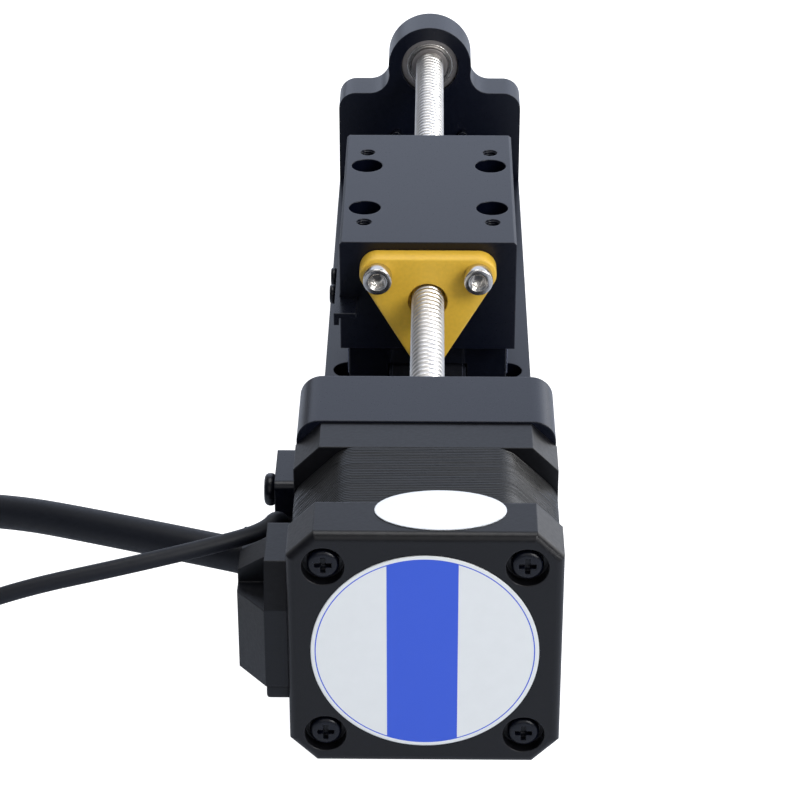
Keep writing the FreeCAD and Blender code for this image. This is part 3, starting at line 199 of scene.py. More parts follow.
def finish(
    name,
    color,
    roughness,
    metallic=0.0,
    sheen=0.5,
    grain=EVEN_GRAIN,
    scale=1500.0,
    amount=0.12,
    bump=0.05,
    wear_and_highlight=1.5,
    radius=CORNER_RADIUS,
):
    """A material with a grain in colour, roughness and height, and corners painted lighter as wear and as a
    painted highlight.
    """
    made = bpy.data.materials.new(name + "_look")
    made.use_nodes = True
    new = made.node_tree.nodes.new
    link = made.node_tree.links.new
    shader = made.node_tree.nodes["Principled BSDF"]
    shader.inputs["Metallic"].default_value = metallic
    shader.inputs["Specular IOR Level"].default_value = sheen
    texture = new("ShaderNodeGroup")
    texture.node_tree = grain
    texture.inputs["Scale"].default_value = scale
    texture.inputs["Amount"].default_value = amount
    edges = new("ShaderNodeGroup")
    edges.node_tree = SOFT_EDGE
    edges.inputs["Radius"].default_value = radius
    tint = new("ShaderNodeMix")
    tint.data_type = "RGBA"
    tint.blend_type = "MULTIPLY"
    tint.inputs["Factor"].default_value = 1.0
    tint.inputs["A"].default_value = (*color, 1.0)
    # Corners are mixed towards a lighter colour: partly wear rubbed bright, partly a painted edge
    # highlight.
    rubbed_and_lit = new("ShaderNodeMix")
    rubbed_and_lit.data_type = "RGBA"
    lit_worn_corner_color = [min(part * wear_and_highlight + CORNER_WEAR_AND_HIGHLIGHT_LIFT, 1.0) for part in color]
    rubbed_and_lit.inputs["B"].default_value = (*lit_worn_corner_color, 1.0)
    rough = new("ShaderNodeMath")
    rough.operation = "MULTIPLY"
    rough.inputs[0].default_value = roughness
    relief = new("ShaderNodeBump")
    relief.inputs["Strength"].default_value = bump
    relief.inputs["Distance"].default_value = GRAIN_DEPTH
    link(texture.outputs["Shade"], tint.inputs["B"])
    link(texture.outputs["Shade"], rough.inputs[1])
    link(texture.outputs["Height"], relief.inputs["Height"])
    link(edges.outputs["Normal"], relief.inputs["Normal"])
    link(edges.outputs["Edge"], rubbed_and_lit.inputs["Factor"])
    link(tint.outputs["Result"], rubbed_and_lit.inputs["A"])
    link(rubbed_and_lit.outputs["Result"], shader.inputs["Base Color"])
    link(rough.outputs[0], shader.inputs["Roughness"])
    link(relief.outputs["Normal"], shader.inputs["Normal"])
    return made


print("corners are softened over mm:", CORNER_RADIUS / MM)

# %% Metals
ANODISED = finish("black_anodised", (0.0008, 0.0018, 0.0070), 0.31, sheen=0.38, scale=4200, bump=0.06)
MOTOR_PAINT = finish("motor_black", (0.0030, 0.0030, 0.0040), 0.34, sheen=0.34, scale=1600, bump=0.08)
SHEETS = finish(
    "stack_black",
    (0.007, 0.007, 0.007),
    0.38,
    sheen=0.34,
    grain=SHEET_GRAIN,
    scale=1900,
    amount=0.5,
    radius=0.02 * MM,
)
# The rail's corners are painted many times lighter and bluish: a painted blue-white edge highlight, not
# wear.
RAIL = finish(
    "rail_steel",
    (0.020, 0.022, 0.030),
    0.20,
    metallic=0.5,
    grain=LONG_GRAIN,
    scale=2500,
    wear_and_highlight=14,
)
POLISHED = {"metallic": 1.0, "amount": 0.06, "bump": 0.004}
BRIGHT = finish("bright_steel", (0.62, 0.60, 0.57), 0.24, scale=900, **POLISHED)
THREAD = finish("screw_steel", (0.72, 0.70, 0.67), 0.33, scale=1200, **POLISHED)
DARK = finish("dark_steel", (0.0008, 0.0015, 0.0050), 0.30, sheen=0.34, scale=2600)
GROUND = finish("ground_steel", (0.29, 0.27, 0.26), 0.52, metallic=1.0, scale=900, amount=0.06)
COPPER = finish("winding_copper", (0.55, 0.22, 0.09), 0.35, metallic=0.9, scale=900)
MAGNET = finish("magnet_grey", (0.20, 0.20, 0.22), 0.45, metallic=0.6)
print("metals made")

# %% Plastics and rubber
BLOCK_PLASTIC = finish("block_plastic", (0.002, 0.003, 0.006), 0.14, scale=900, amount=0.06, bump=0.01)
SEAL = finish("seal_rubber", (0.003, 0.0040, 0.008), 0.12, scale=330, amount=0.06, bump=0.6)
HOOD = finish("hood_plastic", (0.0025, 0.0030, 0.0050), 0.36, sheen=0.32, scale=1800, bump=0.08)
NUT = finish("nut_yellow", (0.71, 0.435, 0.040), 0.42, scale=1300, amount=0.05, bump=0.05, wear_and_highlight=1.1)
CABLE = finish("cable_black", (0.0045, 0.0055, 0.0090), 0.50, sheen=0.28, scale=1400)
PLUG = finish("plug_plastic", (0.70, 0.69, 0.64), 0.40, scale=900, amount=0.05, wear_and_highlight=1.1)
print("plastics made")

# %% [markdown]
# ## Labels
# The motor carries a round label on its rear face and a plain oval one on its top. The round one has a
# broad blue band and a thin blue line near its rim. A print has no height, so the band and the line are
# drawn by the material, from the distance to the label's middle, and the paper keeps its sheen.


# %% Label finishes
def near_value(tree, source, middle, reach):
    """One where a value lies within reach of a middle, and nought elsewhere."""
    node = tree.nodes.new("ShaderNodeMath")
    node.operation = "COMPARE"
    node.inputs[1].default_value = middle
    node.inputs[2].default_value = reach
    tree.links.new(source, node.inputs[0])
    return node.outputs[0]


def both(tree, operation, first, second):
    """Two values put together by one operation."""
    node = tree.nodes.new("ShaderNodeMath")
    node.operation = operation
    tree.links.new(first, node.inputs[0])
    tree.links.new(second, node.inputs[1])
    return node.outputs[0]


PAPER_GRAIN = {"scale": 400, "amount": 0.012, "bump": 0.01, "wear_and_highlight": 1.0}
PAPER = finish("label_white", (0.80, 0.83, 0.87), 0.35, **PAPER_GRAIN)
PRINT = finish("label_print", (0.792, 0.806, 0.793), 0.35, **PAPER_GRAIN)
INK = (0.034, 0.100, 0.64, 1.0)
BAND_MIDDLE, BAND_HALF, BAND_INSET = -0.39 * MM, 5.47 * MM, 0.62 * MM
LINE_INSET, LINE_HALF = 0.72 * MM, 0.09 * MM
print("label finishes:", PAPER.name, PRINT.name)

# %% Draw the print
label_low, label_high = (Vector(corner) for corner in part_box("motor_label"))
label_middle = (label_low + label_high) / 2
label_radius = (label_high.x - label_low.x) / 2
tree = PRINT.node_tree
where = tree.nodes.new("ShaderNodeTexCoord")
centred = tree.nodes.new("ShaderNodeMapping")
centred.inputs["Location"].default_value = (-label_middle.x, 0, -label_middle.z)
centred.inputs["Scale"].default_value = (1, 0, 1)
split = tree.nodes.new("ShaderNodeSeparateXYZ")
length = tree.nodes.new("ShaderNodeVectorMath")
length.operation = "LENGTH"
tree.links.new(where.outputs["Object"], centred.inputs["Vector"])
tree.links.new(centred.outputs["Vector"], split.inputs["Vector"])
tree.links.new(centred.outputs["Vector"], length.inputs[0])
band = near_value(tree, split.outputs["X"], BAND_MIDDLE, BAND_HALF)
inside = near_value(tree, length.outputs["Value"], 0.0, label_radius - BAND_INSET)
line = near_value(tree, length.outputs["Value"], label_radius - LINE_INSET, LINE_HALF)
inked = both(tree, "MAXIMUM", both(tree, "MULTIPLY", band, inside), line)
ink = tree.nodes.new("ShaderNodeMix")
ink.data_type = "RGBA"
ink.inputs["B"].default_value = INK
colored = tree.nodes["Principled BSDF"].inputs["Base Color"]
tree.links.new(colored.links[0].from_socket, ink.inputs["A"])
tree.links.new(inked, ink.inputs["Factor"])
tree.links.new(ink.outputs["Result"], colored)
print("label radius, mm:", round(label_radius / MM, 2))

# %% [markdown]
# ## Finishes on the solids
# Each solid is listed in the record with the slot of its material, so one table from slot to finish dresses
# them all. The round label then takes its print in place of plain paper.

# %% Give every solid its finish
FINISHES = [ANODISED, MOTOR_PAINT, SHEETS, RAIL, BRIGHT, THREAD, DARK, COPPER, MAGNET]
FINISHES += [BLOCK_PLASTIC, SEAL, HOOD, NUT, CABLE, PLUG, PAPER]
by_slot = {made.name.removesuffix("_look"): made for made in FINISHES}
for entry in frame["record"]["subparts"]:
    item = bpy.data.objects[entry["node"]]
    item.data.materials.clear()
    item.data.materials.append(by_slot[entry["material_slot"]])
bpy.data.objects["motor_label"].data.materials[0] = PRINT
print("finishes:", len(FINISHES))

# %% [markdown]
# ## Helpers for modelling
# Operators act on whatever is selected, so each step starts with nothing selected. A finished piece keeps
# its place in its mesh and its object at the origin. These helpers add a primitive at its size and place,
# apply a modifier, cut one piece with another, and close a piece by giving it a finish and a body to ride
# on. Other helpers come with the step that first needs them.


# %% Starting shapes
def clear_selection():
    for item in bpy.context.selected_objects:
        item.select_set(False)


def only(item):
    clear_selection()
    item.select_set(True)
    bpy.context.view_layer.objects.active = item
    return item


def settle(made, name, place):
    """Name a new primitive, put it in place in millimetres and keep that in its mesh."""
    made.name = name
    made.location = Vector(place) * MM
    bpy.ops.object.transform_apply(location=True, rotation=True, scale=True)
    return made


def rod(name, radius, low, high, sides=32):
    """A round bar along +Y between two places on the Y axis, in millimetres."""
    clear_selection()
    bpy.ops.mesh.primitive_cylinder_add(
        vertices=sides, radius=radius * MM, depth=(high - low) * MM, rotation=(-math.pi / 2, 0, 0)
    )
    return settle(bpy.context.active_object, name, (0, (low + high) / 2, 0))


def block(name, low, high):
    """A box between two corners, in millimetres."""
    clear_selection()
    bpy.ops.mesh.primitive_cube_add(size=1)
    made = bpy.context.active_object
    made.scale = [(b - a) * MM for a, b in zip(low, high)]
    return settle(made, name, [(a + b) / 2 for a, b in zip(low, high)])


print("helpers ready:", rod.__name__, block.__name__)


# %% Shaping
def modify(item, kind, **settings):
    """Add one modifier, set it and apply it."""
    only(item)
    added = item.modifiers.new(kind.lower(), kind)
    for key, setting in settings.items():
        setattr(added, key, setting)
    bpy.ops.object.modifier_apply(modifier=added.name)
    return item


def round_edges(item, width, segments=3, angle=30):
    """Bevel the edges that turn by more than an angle, in degrees."""
    settings = {"limit_method": "ANGLE", "angle_limit": math.radians(angle)}
    return modify(item, "BEVEL", width=width * MM, segments=segments, **settings)


def carve(item, tool):
    """Cut a tool out of a piece, and throw the tool away."""
    modify(item, "BOOLEAN", operation="DIFFERENCE", object=tool, solver="EXACT")
    bpy.data.objects.remove(tool)
    return item


print("helpers ready:", modify.__name__, round_edges.__name__, carve.__name__)

# %% Placing and closing
SMOOTH_ANGLE = math.radians(35)


def join(name, pieces):
    only(pieces[0])
    for piece in pieces[1:]:
        piece.select_set(True)
    bpy.ops.object.join()
    pieces[0].name = name
    return pieces[0]


def move(item, place, heading=0.0):
    """Turn a piece about Z, move it in millimetres, and keep that in its mesh."""
    spin = Matrix.Rotation(math.radians(heading), 4, "Z")
    item.data.transform(Matrix.Translation(Vector(place) * MM) @ spin)
    return item


def close(item, body, look, stands_for=()):
    """Finish a piece: its material, the body that it rides on, and the solids that it stands for."""
    if item.type == "MESH":
        only(item)
        bpy.ops.object.shade_smooth_by_angle(angle=SMOOTH_ANGLE)
    item.data.materials.clear()
    item.data.materials.append(look)
    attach(item, body)
    if stands_for:
        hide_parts(*stands_for)
    print("made", item.name)
    return item


def size_of(node):
    """A node's lowest and highest corner, in millimetres."""
    low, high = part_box(node)
    return Vector(low) / MM, Vector(high) / MM


print("helpers ready:", join.__name__, move.__name__, close.__name__)

# %% [markdown]
# ## Cables
# Two black cables leave the machine on its left. The thick one feeds the motor from the hood, and the
# thin one comes from the home sensor through a clamp and passes over the hood. Both run out almost level,
# sink to the bench and lie there in one loose loop outside the picture. Each is a curve with a round
# bevel: a spline of order 3 stays smooth and near its control points. They are the ones that the solids
# use, except two on the thin cable, which are moved a little to keep it low behind the hood.

# %% Cable routes
MOTOR_CABLE = [
    (-27.5, -120.3, 41.05),
    (-50.1, -111.0, 40.3),
    (-71.8, -98.9, 37.0),
    (-92.0, -87.0, 29.0),
    (-107.5, -77.5, 17.5),
    (-122.0, -69.8, 7.6),
    (-137.0, -69.2, 3.2),
    (-151.0, -76.0, 2.95),
    (-161.8, -90.0, 2.95),
    (-164.9, -107.6, 2.95),
    (-159.4, -124.6, 2.95),
    (-146.5, -136.4, 2.95),
    (-129.3, -141.0, 2.95),
    (-111.8, -137.6, 2.95),
    (-98.1, -126.7, 2.95),
]
SENSOR_CABLE = [
    (-22.45, -93.5, 38.4),
    (-22.45, -109.5, 38.4),
    (-23.6, -116.3, 46.8),
    (-25.7, -119.6, 46.0),
    (-31.4, -124.0, 46.5),
    (-46.3, -129.2, 45.4),
    (-66.0, -132.4, 42.3),
    (-84.0, -135.6, 35.8),
    (-101.0, -136.0, 24.5),
    (-115.0, -132.0, 11.5),
    (-128.5, -129.0, 3.4),
    (-140.3, -123.6, 1.4),
    (-147.5, -115.1, 1.4),
    (-149.4, -104.1, 1.4),
    (-145.6, -93.7, 1.4),
    (-137.1, -86.5, 1.4),
    (-126.1, -84.6, 1.4),
    (-115.7, -88.4, 1.4),
    (-108.5, -96.9, 1.4),
    (-106.6, -107.9, 1.4),
]
print("route points:", len(MOTOR_CABLE), len(SENSOR_CABLE))

# %% [markdown]
# Each cable ends in a pale moulded plug: a housing with rounded edges, a row of square pin holes in its
# far face, and a springy latch on top. A box is enough to start from: its edges are bevelled, and the
# holes are cut with a second box that is moved along the face.

# %% Plugs
PIN_SPARE, HOLE_SHARE, HOLE_DEPTH = 0.6, 0.28, 5
LATCH_INSET, LATCH_SINK = 2.5, 0.1
ARM_RISE, CATCH_RISE, GRIP_RISE = 0.5, 1.0, 0.95
CATCH_LENGTH, GRIP_LENGTH = 3, 2
SHELL_EDGE, LATCH_EDGE = 0.5, 0.2


def plug(name, points, length, width, height, pins):
    """A plug in line with the cable's last run, standing on the floor."""
    shell = block(name, (-width / 2, 0, 0), (width / 2, length, height))
    round_edges(shell, SHELL_EDGE, 2)
    pitch = width / (pins + PIN_SPARE)
    half_hole = pitch * HOLE_SHARE
    for index in range(pins):
        x = (index - (pins - 1) / 2) * pitch
        near_corner = (x - half_hole, length - HOLE_DEPTH, height / 2 - half_hole)
        far_corner = (x + half_hole, length + 1, height / 2 + half_hole)
        carve(shell, block("pin_hole", near_corner, far_corner))
    side, near, far = width / 2 - LATCH_INSET, LATCH_INSET, length - LATCH_INSET
    arm = (near, far, ARM_RISE)
    catch = (far - CATCH_LENGTH, far, CATCH_RISE)
    grip = (near, near + GRIP_LENGTH, GRIP_RISE)
    pieces = [shell]
    for low_y, high_y, rise in (arm, catch, grip):
        step = block("latch_step", (-side, low_y, height - LATCH_SINK), (side, high_y, height + rise))
        pieces.append(round_edges(step, LATCH_EDGE, 2))
    made = join(name + "_shell", pieces)
    (x0, y0, _), (x1, y1, _) = points[-2:]
    move(made, (x1, y1, 0), math.degrees(math.atan2(x0 - x1, y1 - y0)))
    return close(made, "frame", PLUG, [name])


motor_plug = plug("motor_cable_plug", MOTOR_CABLE, length=16, width=11, height=7, pins=4)
sensor_plug = plug("sensor_cable_plug", SENSOR_CABLE, length=12, width=8, height=5, pins=3)


# %% Cables
def cable(name, points, diameter):
    """A round cable along its route: diameter in millimetres."""
    line = bpy.data.curves.new(name, "CURVE")
    line.dimensions = "3D"
    line.bevel_depth = diameter / 2 * MM
    line.bevel_resolution = 6
    line.resolution_u = 10
    line.use_fill_caps = True
    spline = line.splines.new("NURBS")
    spline.points.add(len(points) - 1)
    for point, place in zip(spline.points, points):
        point.co = (*(Vector(place) * MM), 1.0)
    spline.order_u = 3
    spline.use_endpoint_u = True
    made = bpy.data.objects.new(name + "_line", line)
    bpy.context.collection.objects.link(made)
    close(made, "frame", CABLE, [name])
    return made


cable("motor_cable", MOTOR_CABLE, diameter=5.8)
cable("sensor_cable", SENSOR_CABLE, diameter=2.7)

# %% [markdown]
# ## Lead screw
# The rod has a fine rolled thread with one start, 1.5875 mm from crest to crest, and it is right-handed.
# A thread is a small profile that turns and climbs at once, which is what the Screw modifier does: the
# profile of one pitch is drawn as a curve, made a mesh, and carried round 126 times. Plain bars close the
# two ends.

# %% Outlines and turning
WELD = 0.001 * MM


def outline(name, points, closed):
    """A mesh of one line through (radius, Y) points, in millimetres."""
    line = bpy.data.curves.new(name, "CURVE")
    line.dimensions = "3D"
    spline = line.splines.new("POLY")
    spline.points.add(len(points) - 1)
    spline.use_cyclic_u = closed
    for point, (radius, along) in zip(spline.points, points):
        point.co = (radius * MM, along * MM, 0, 1)
    made = bpy.data.objects.new(name, line)
    bpy.context.collection.objects.link(made)
    only(made)
    bpy.ops.object.convert(target="MESH")
    return made


def carry_round(item, steps, climb=0.0, times=1):
    """Turn an outline about the Y axis, climbing along it on each turn."""
    return modify(
        item,
        "SCREW",
        axis="Y",
        angle=2 * math.pi,
        screw_offset=climb * MM,
        iterations=times,
        steps=steps,
        render_steps=steps,
        use_merge_vertices=True,
        merge_threshold=WELD,
        use_normal_calculate=True,
    )


print("doubles are merged within mm:", WELD / MM)

# %% Thread
PITCH = 1.5875
THREAD_DEPTH = 0.72
THREAD_STEPS = 48
screw_low, screw_high = size_of("lead_screw")
AXIS_Z = (screw_low.z + screw_high.z) / 2
CREST = (screw_high.x - screw_low.x) / 2
ROOT = CREST - THREAD_DEPTH
bearing_near = size_of("end_bearing_inner_ring")[0].y
thread_start = size_of("motor_front_cap")[1].y
turns = int((bearing_near - thread_start) / PITCH)
PROFILE = [
    (ROOT, 0.00),
    (ROOT, 0.05),
    (CREST - 0.12, 0.24),
    (CREST - 0.03, 0.31),
    (CREST, 0.40),
    (CREST, 0.60),
    (CREST - 0.03, 0.69),
    (CREST - 0.12, 0.76),
    (ROOT, 0.95),
    (ROOT, 1.00),
]
one_pitch = [(radius, thread_start + share * PITCH) for radius, share in PROFILE]
thread = carry_round(outline("lead_screw_thread", one_pitch, False), THREAD_STEPS, PITCH, turns)
print("turns of thread:", turns, "faces:", len(thread.data.polygons))

# %% Ends of the screw
SHAFT_RADIUS, SHAFT_LAP = 2.49, 1.0
JOURNAL_RADIUS, JOURNAL_LAP, JOURNAL_EDGE = 2.99, 0.5, 0.4
CORE_COVER = 0.02
thread_end = thread_start + turns * PITCH
shaft = rod("shaft", SHAFT_RADIUS, screw_low.y, thread_start + SHAFT_LAP)
core = rod("core", ROOT + CORE_COVER, thread_start, bearing_near)
journal = rod("journal", JOURNAL_RADIUS, thread_end - JOURNAL_LAP, screw_high.y)
round_edges(journal, JOURNAL_EDGE, 2)
screw = join("lead_screw_thread", [thread, shaft, core, journal])
move(screw, (0, 0, AXIS_Z))
close(screw, "screw", THREAD, ["lead_screw"])

# %% [markdown]
# ## Motor sheets
# Between its two caps the motor is a stack of thin steel sheets, stamped square with wide cut corners.
# One sheet is a box whose four long edges are bevelled flat and then softened, and an Array modifier
# stacks 33 of them with a hair of space between, so that light draws the fine lines that the real stack
# shows.


# %% Stacks and long edges
def stack(item, count, step):
    """Repeat a piece by a step in millimetres, with an Array modifier."""
    return modify(
        item,
        "ARRAY",
        count=count,
        use_relative_offset=False,
        use_constant_offset=True,
        constant_offset_displace=[part * MM for part in step],
    )


def bevel_long_edges(item, width, segments):
    """Bevel the edges that run along Y, in edit mode."""
    only(item)
    points = item.data.vertices
    bpy.context.tool_settings.mesh_select_mode = (False, True, False)
    bpy.ops.object.mode_set(mode="EDIT")
    bpy.ops.mesh.select_all(action="DESELECT")
    bpy.ops.object.mode_set(mode="OBJECT")
    for edge in item.data.edges:
        first, second = (points[index].co for index in edge.vertices)
        edge.select = abs(first.y - second.y) > 0.1 * MM
    bpy.ops.object.mode_set(mode="EDIT")
    bpy.ops.mesh.bevel(offset=width * MM, offset_type="OFFSET", segments=segments, affect="EDGES")
    bpy.ops.object.mode_set(mode="OBJECT")
    return item


print("helpers ready:", stack.__name__, bevel_long_edges.__name__)

# %% Sheets
stack_low, stack_high = size_of("motor_stator")
SHEET_COUNT = 33
SHEET_GAP = 0.05
CORNER_CUT, CORNER_ROUND, SHEET_EDGE = 8, 1.6, 0.08
sheet_pitch = (stack_high.y - stack_low.y) / SHEET_COUNT
sheet_far = stack_low.y + sheet_pitch - SHEET_GAP
sheets = block("motor_sheets", stack_low, (stack_high.x, sheet_far, stack_high.z))
bevel_long_edges(sheets, CORNER_CUT, 1)
bevel_long_edges(sheets, CORNER_ROUND, 3)
round_edges(sheets, SHEET_EDGE, 1, 60)
stack(sheets, SHEET_COUNT, (0, sheet_pitch, 0))
close(sheets, "frame", SHEETS, ["motor_stator"])

# %% [markdown]
# ## Lead nut
# The nut is milled from a yellow, self-lubricating plastic. Its flange is a triangle with rounded
# corners, which is the shape of a band stretched round three posts. So three short rods are joined and a
# convex hull closes the band round them. The hull's flat faces come in slivers that would stop a bevel,
# so they are dissolved into one face each before the rim is softened. The bores are cut with rods, and
# the hub behind hides in the carriage.

# %% Nut
nut_low, nut_high = size_of("lead_nut")
NUT_FACE = nut_low.y
FLANGE, FLANGE_EDGE = 4.1, 0.4
LOBE = 3.5
BOLT_RADIUS = 11.1
TURNS = [math.radians(turn) for turn in (-90, 30, 150)]
NUT_SPOTS = [(BOLT_RADIUS * math.cos(turn), AXIS_Z + BOLT_RADIUS * math.sin(turn)) for turn in TURNS]
posts = [move(rod("post", LOBE, 0, FLANGE, 48), (x, NUT_FACE, z)) for x, z in NUT_SPOTS]
nut = join("lead_nut_body", posts)
bpy.ops.object.mode_set(mode="EDIT")
bpy.ops.mesh.select_all(action="SELECT")
bpy.ops.mesh.convex_hull()
bpy.ops.mesh.normals_make_consistent(inside=False)
bpy.ops.mesh.dissolve_limited(angle_limit=math.radians(2))
bpy.ops.object.mode_set(mode="OBJECT")
round_edges(nut, FLANGE_EDGE, 3, 50)
print("faces of the flange:", len(nut.data.polygons))

# %% Nut bores
HUB, HUB_LAP = 6.35, 0.5
SCREW_BORE, THREAD_BORE, MOUTH = 1.7, 3.23, 3.8
hub = move(rod("hub", HUB, NUT_FACE + FLANGE - HUB_LAP, nut_high.y), (0, 0, AXIS_Z))
for x, z in NUT_SPOTS:
    carve(nut, move(rod("bore", SCREW_BORE, -1, FLANGE + 1), (x, NUT_FACE, z)))
for part in (nut, hub):
    carve(part, move(rod("thread_bore", THREAD_BORE, -60, 60), (0, 0, AXIS_Z)))
carve(nut, move(rod("mouth", MOUTH, NUT_FACE - 1, NUT_FACE + 2, 48), (0, 0, AXIS_Z)))
close(join("lead_nut_body", [nut, hub]), "carriage", NUT, ["lead_nut"])

# %% [markdown]
# ## Screw heads
# Screws are the detail that tells a real machine from a model of one. Three kinds show: bright socket
# heads on the nut, black cross heads sunk in the motor's corners, and black pan heads on the clamp and
# the flag. Each is turned from a rod with a softened rim, its recess is cut once, and then it is copied
# to its places.


# %% Turned heads, shanks and copies
def lathe(name, points, steps=64):
    """A closed outline turned round the Y axis, with its doubles merged and its faces outwards."""
    made = carry_round(outline(name, points, True), steps)
    bpy.ops.object.mode_set(mode="EDIT")
    bpy.ops.mesh.select_all(action="SELECT")
    bpy.ops.mesh.remove_doubles(threshold=WELD)
    bpy.ops.mesh.normals_make_consistent(inside=False)
    bpy.ops.object.mode_set(mode="OBJECT")
    return made


def screw_blank(name, radius, height, shank, reach, dome, segments=3):
    """A head below the origin with a domed rim, and a shank along +Y."""
    head = rod(name, radius, -height, 0, 40)
    round_edges(head, dome, segments, 60)
    return head, rod("shank", shank, 0, reach, 16)


def copies(template, name, places, heading=0.0):
    """One joined piece of copies of a template at each place, and the template thrown away."""
    made = []
    for place in places:
        copy = template.copy()
        copy.data = template.data.copy()
        bpy.context.collection.objects.link(copy)
        made.append(move(copy, place, heading))
    bpy.data.objects.remove(template)
    return join(name, made)


def set_screws(name, head, shank, places, heading=0.0):
    """A head and its shank as one screw, copied to each place."""
    return copies(join(name, [head, shank]), name, places, heading)


print("helpers ready:", lathe.__name__, screw_blank.__name__, set_screws.__name__)

# %% Socket heads on the nut
SHANK = 1.45
KEY_HALF = 1.25
MOUTH_SECTION = [(0, -3.1), (1.85, -3.1), (1.40, -2.6), (0, -2.6)]
head, shank = screw_blank("nut_screw_heads", radius=2.75, height=3.0, shank=SHANK, reach=7.5, dome=0.3)
carve(head, lathe("mouth", MOUTH_SECTION, 48))
carve(head, rod("key", KEY_HALF / math.cos(math.pi / 6), -4, -1.5, 6))
carve(head, rod("drill", 1.0, -2, -1.2, 12))
places = [(x, NUT_FACE, z) for x, z in NUT_SPOTS]
close(set_screws("nut_screw_heads", head, shank, places), "carriage", BRIGHT, ["nut_screws"])


# %% Cross heads
def cross(item, arm, width, top, depth):
    """Cut a cross with a deeper round middle into a head's near face."""
    above = top - 0.5
    for half_x, half_z in ((arm, width), (width, arm)):
        carve(item, block("blade", (-half_x, above, -half_z), (half_x, top + depth, half_z)))
    return carve(item, rod("middle", width * 1.5, above, top + depth * 1.2, 8))


CASE_HALF = 15.5
CASE_HEAD = 1.8
case_low, case_high = size_of("motor_case_screws")
case_reach = case_high.y - case_low.y - CASE_HEAD
head, shank = screw_blank("case_screw_heads", 2.5, CASE_HEAD, SHANK, case_reach, dome=0.8, segments=4)
cross(head, arm=1.35, width=0.42, top=-CASE_HEAD, depth=1.1)
case_spots = [(a * CASE_HALF, AXIS_Z + b * CASE_HALF) for a in (-1, 1) for b in (-1, 1)]
places = [(x, case_low.y + CASE_HEAD, z) for x, z in case_spots]
close(set_screws("case_screw_heads", head, shank, places), "frame", DARK, ["motor_case_screws"])

# %% Pan heads on the clamp and the flag
SIDE_SCREWS = [
    ("clamp_screws", "frame", 2.75, 2.0, SHANK, 0.9),
    ("flag_screws", "carriage", 1.9, 1.2, 0.95, 0.5),
]
for node, body, radius, height, shank_radius, dome in SIDE_SCREWS:
    low, high = size_of(node)
    name = node + "_heads"
    reach = high.x - low.x - height
    head, shank = screw_blank(name, radius, height, shank_radius, reach, dome, segments=4)
    cross(head, arm=radius * 0.55, width=radius * 0.13, top=-height, depth=height * 0.5)
    seat = low.x + height
    ends_y = (low.y + radius, high.y - radius)
    ends_z = (low.z + radius, high.z - radius)
    places = [(seat, y, z) for y, z in zip(ends_y, ends_z)]
    close(set_screws(name, head, shank, places, -90), body, DARK, [node])

# %% [markdown]
# ## End bearing
# The ball bearing at the far end shows a ring with softened edges and a thin steel shield that is pressed
# into it. A shield isn't a flat washer: it has a rolled rim that catches the light as a bright line, and
# a dish inside the rim. Both are turned shapes, so each is one outline carried round the axis. The faces
# of the two rings are ground, and duller than the shield.

# %% Bearing ring
FACE_SHARE = 0.81
EDGE = 0.14
PRESS_GAP = 0.01
ring_low, ring_high = size_of("end_bearing_outer_ring")
width = ring_high.y - ring_low.y
RING = (ring_high.x - ring_low.x) / 2
SHIELD_OUT = RING * FACE_SHARE
ring_wall = SHIELD_OUT + PRESS_GAP
section = [
    (RING - EDGE, 0),
    (RING, EDGE),
    (RING, width - EDGE),
    (RING - EDGE, width),
    (ring_wall + EDGE, width),
    (ring_wall, width - EDGE),
    (ring_wall, EDGE),
    (ring_wall + EDGE, 0),
]
ring = move(lathe("end_bearing_ring", section), (0, ring_low.y, AXIS_Z))
close(ring, "frame", BRIGHT, ["end_bearing_outer_ring"])
for ground in (ring, bpy.data.objects["end_bearing_inner_ring"]):
    ground.data.materials[0] = GROUND

# %% Bearing shields
SHIELD_GAP = 0.15
SHIELD_IN = size_of("end_bearing_inner_ring")[1].x + SHIELD_GAP
RIM = [(0, 0.46), (0, 0.10), (0.08, 0.04), (0.18, 0.04), (0.30, 0.12), (0.40, 0.24), (0.46, 0.36)]
shield = [(SHIELD_OUT - inset, along) for inset, along in RIM] + [(SHIELD_IN, 0.36), (SHIELD_IN, 0.46)]
near_shield = lathe("end_bearing_dishes", shield)
far_shield = lathe("far_shield", [(radius, width - along) for radius, along in shield])
shields = move(join("end_bearing_dishes", [near_shield, far_shield]), (0, ring_low.y, AXIS_Z))
close(shields, "frame", BRIGHT, ["end_bearing_shields"])

# %% [markdown]
# ## Hood lip
# Under the hood a small lip closes the gap to the motor's side. Its front shows as a short step below the
# faceted box. It is a box with its edges softened, as the moulded corner is.

# %% Lip
LIP_REACH, LIP_SINK = 3.6, 0.6
LIP_SETBACK, LIP_DEPTH = 0.1, 7
LIP_RISE, LIP_EDGE = 2.6, 0.5
hood_low, hood_high = size_of("cable_hood")
lip_corner = (hood_high.x - LIP_REACH, hood_low.y + LIP_SETBACK, hood_low.z)
lip_far = (hood_high.x + LIP_SINK, hood_low.y + LIP_DEPTH, hood_low.z + LIP_RISE)
close(round_edges(block("hood_lip", lip_corner, lip_far), LIP_EDGE, 3), "frame", HOOD)

# %% [markdown]
# ## Tapped holes
# The carriage's four small holes are tapped for a load. Looked into, a thread is a stack of fine ridges
# that catch the light one above the other, so a ring is stacked down each hole: half of it is sunk in the
# wall, and the other half stands out as the ridge.

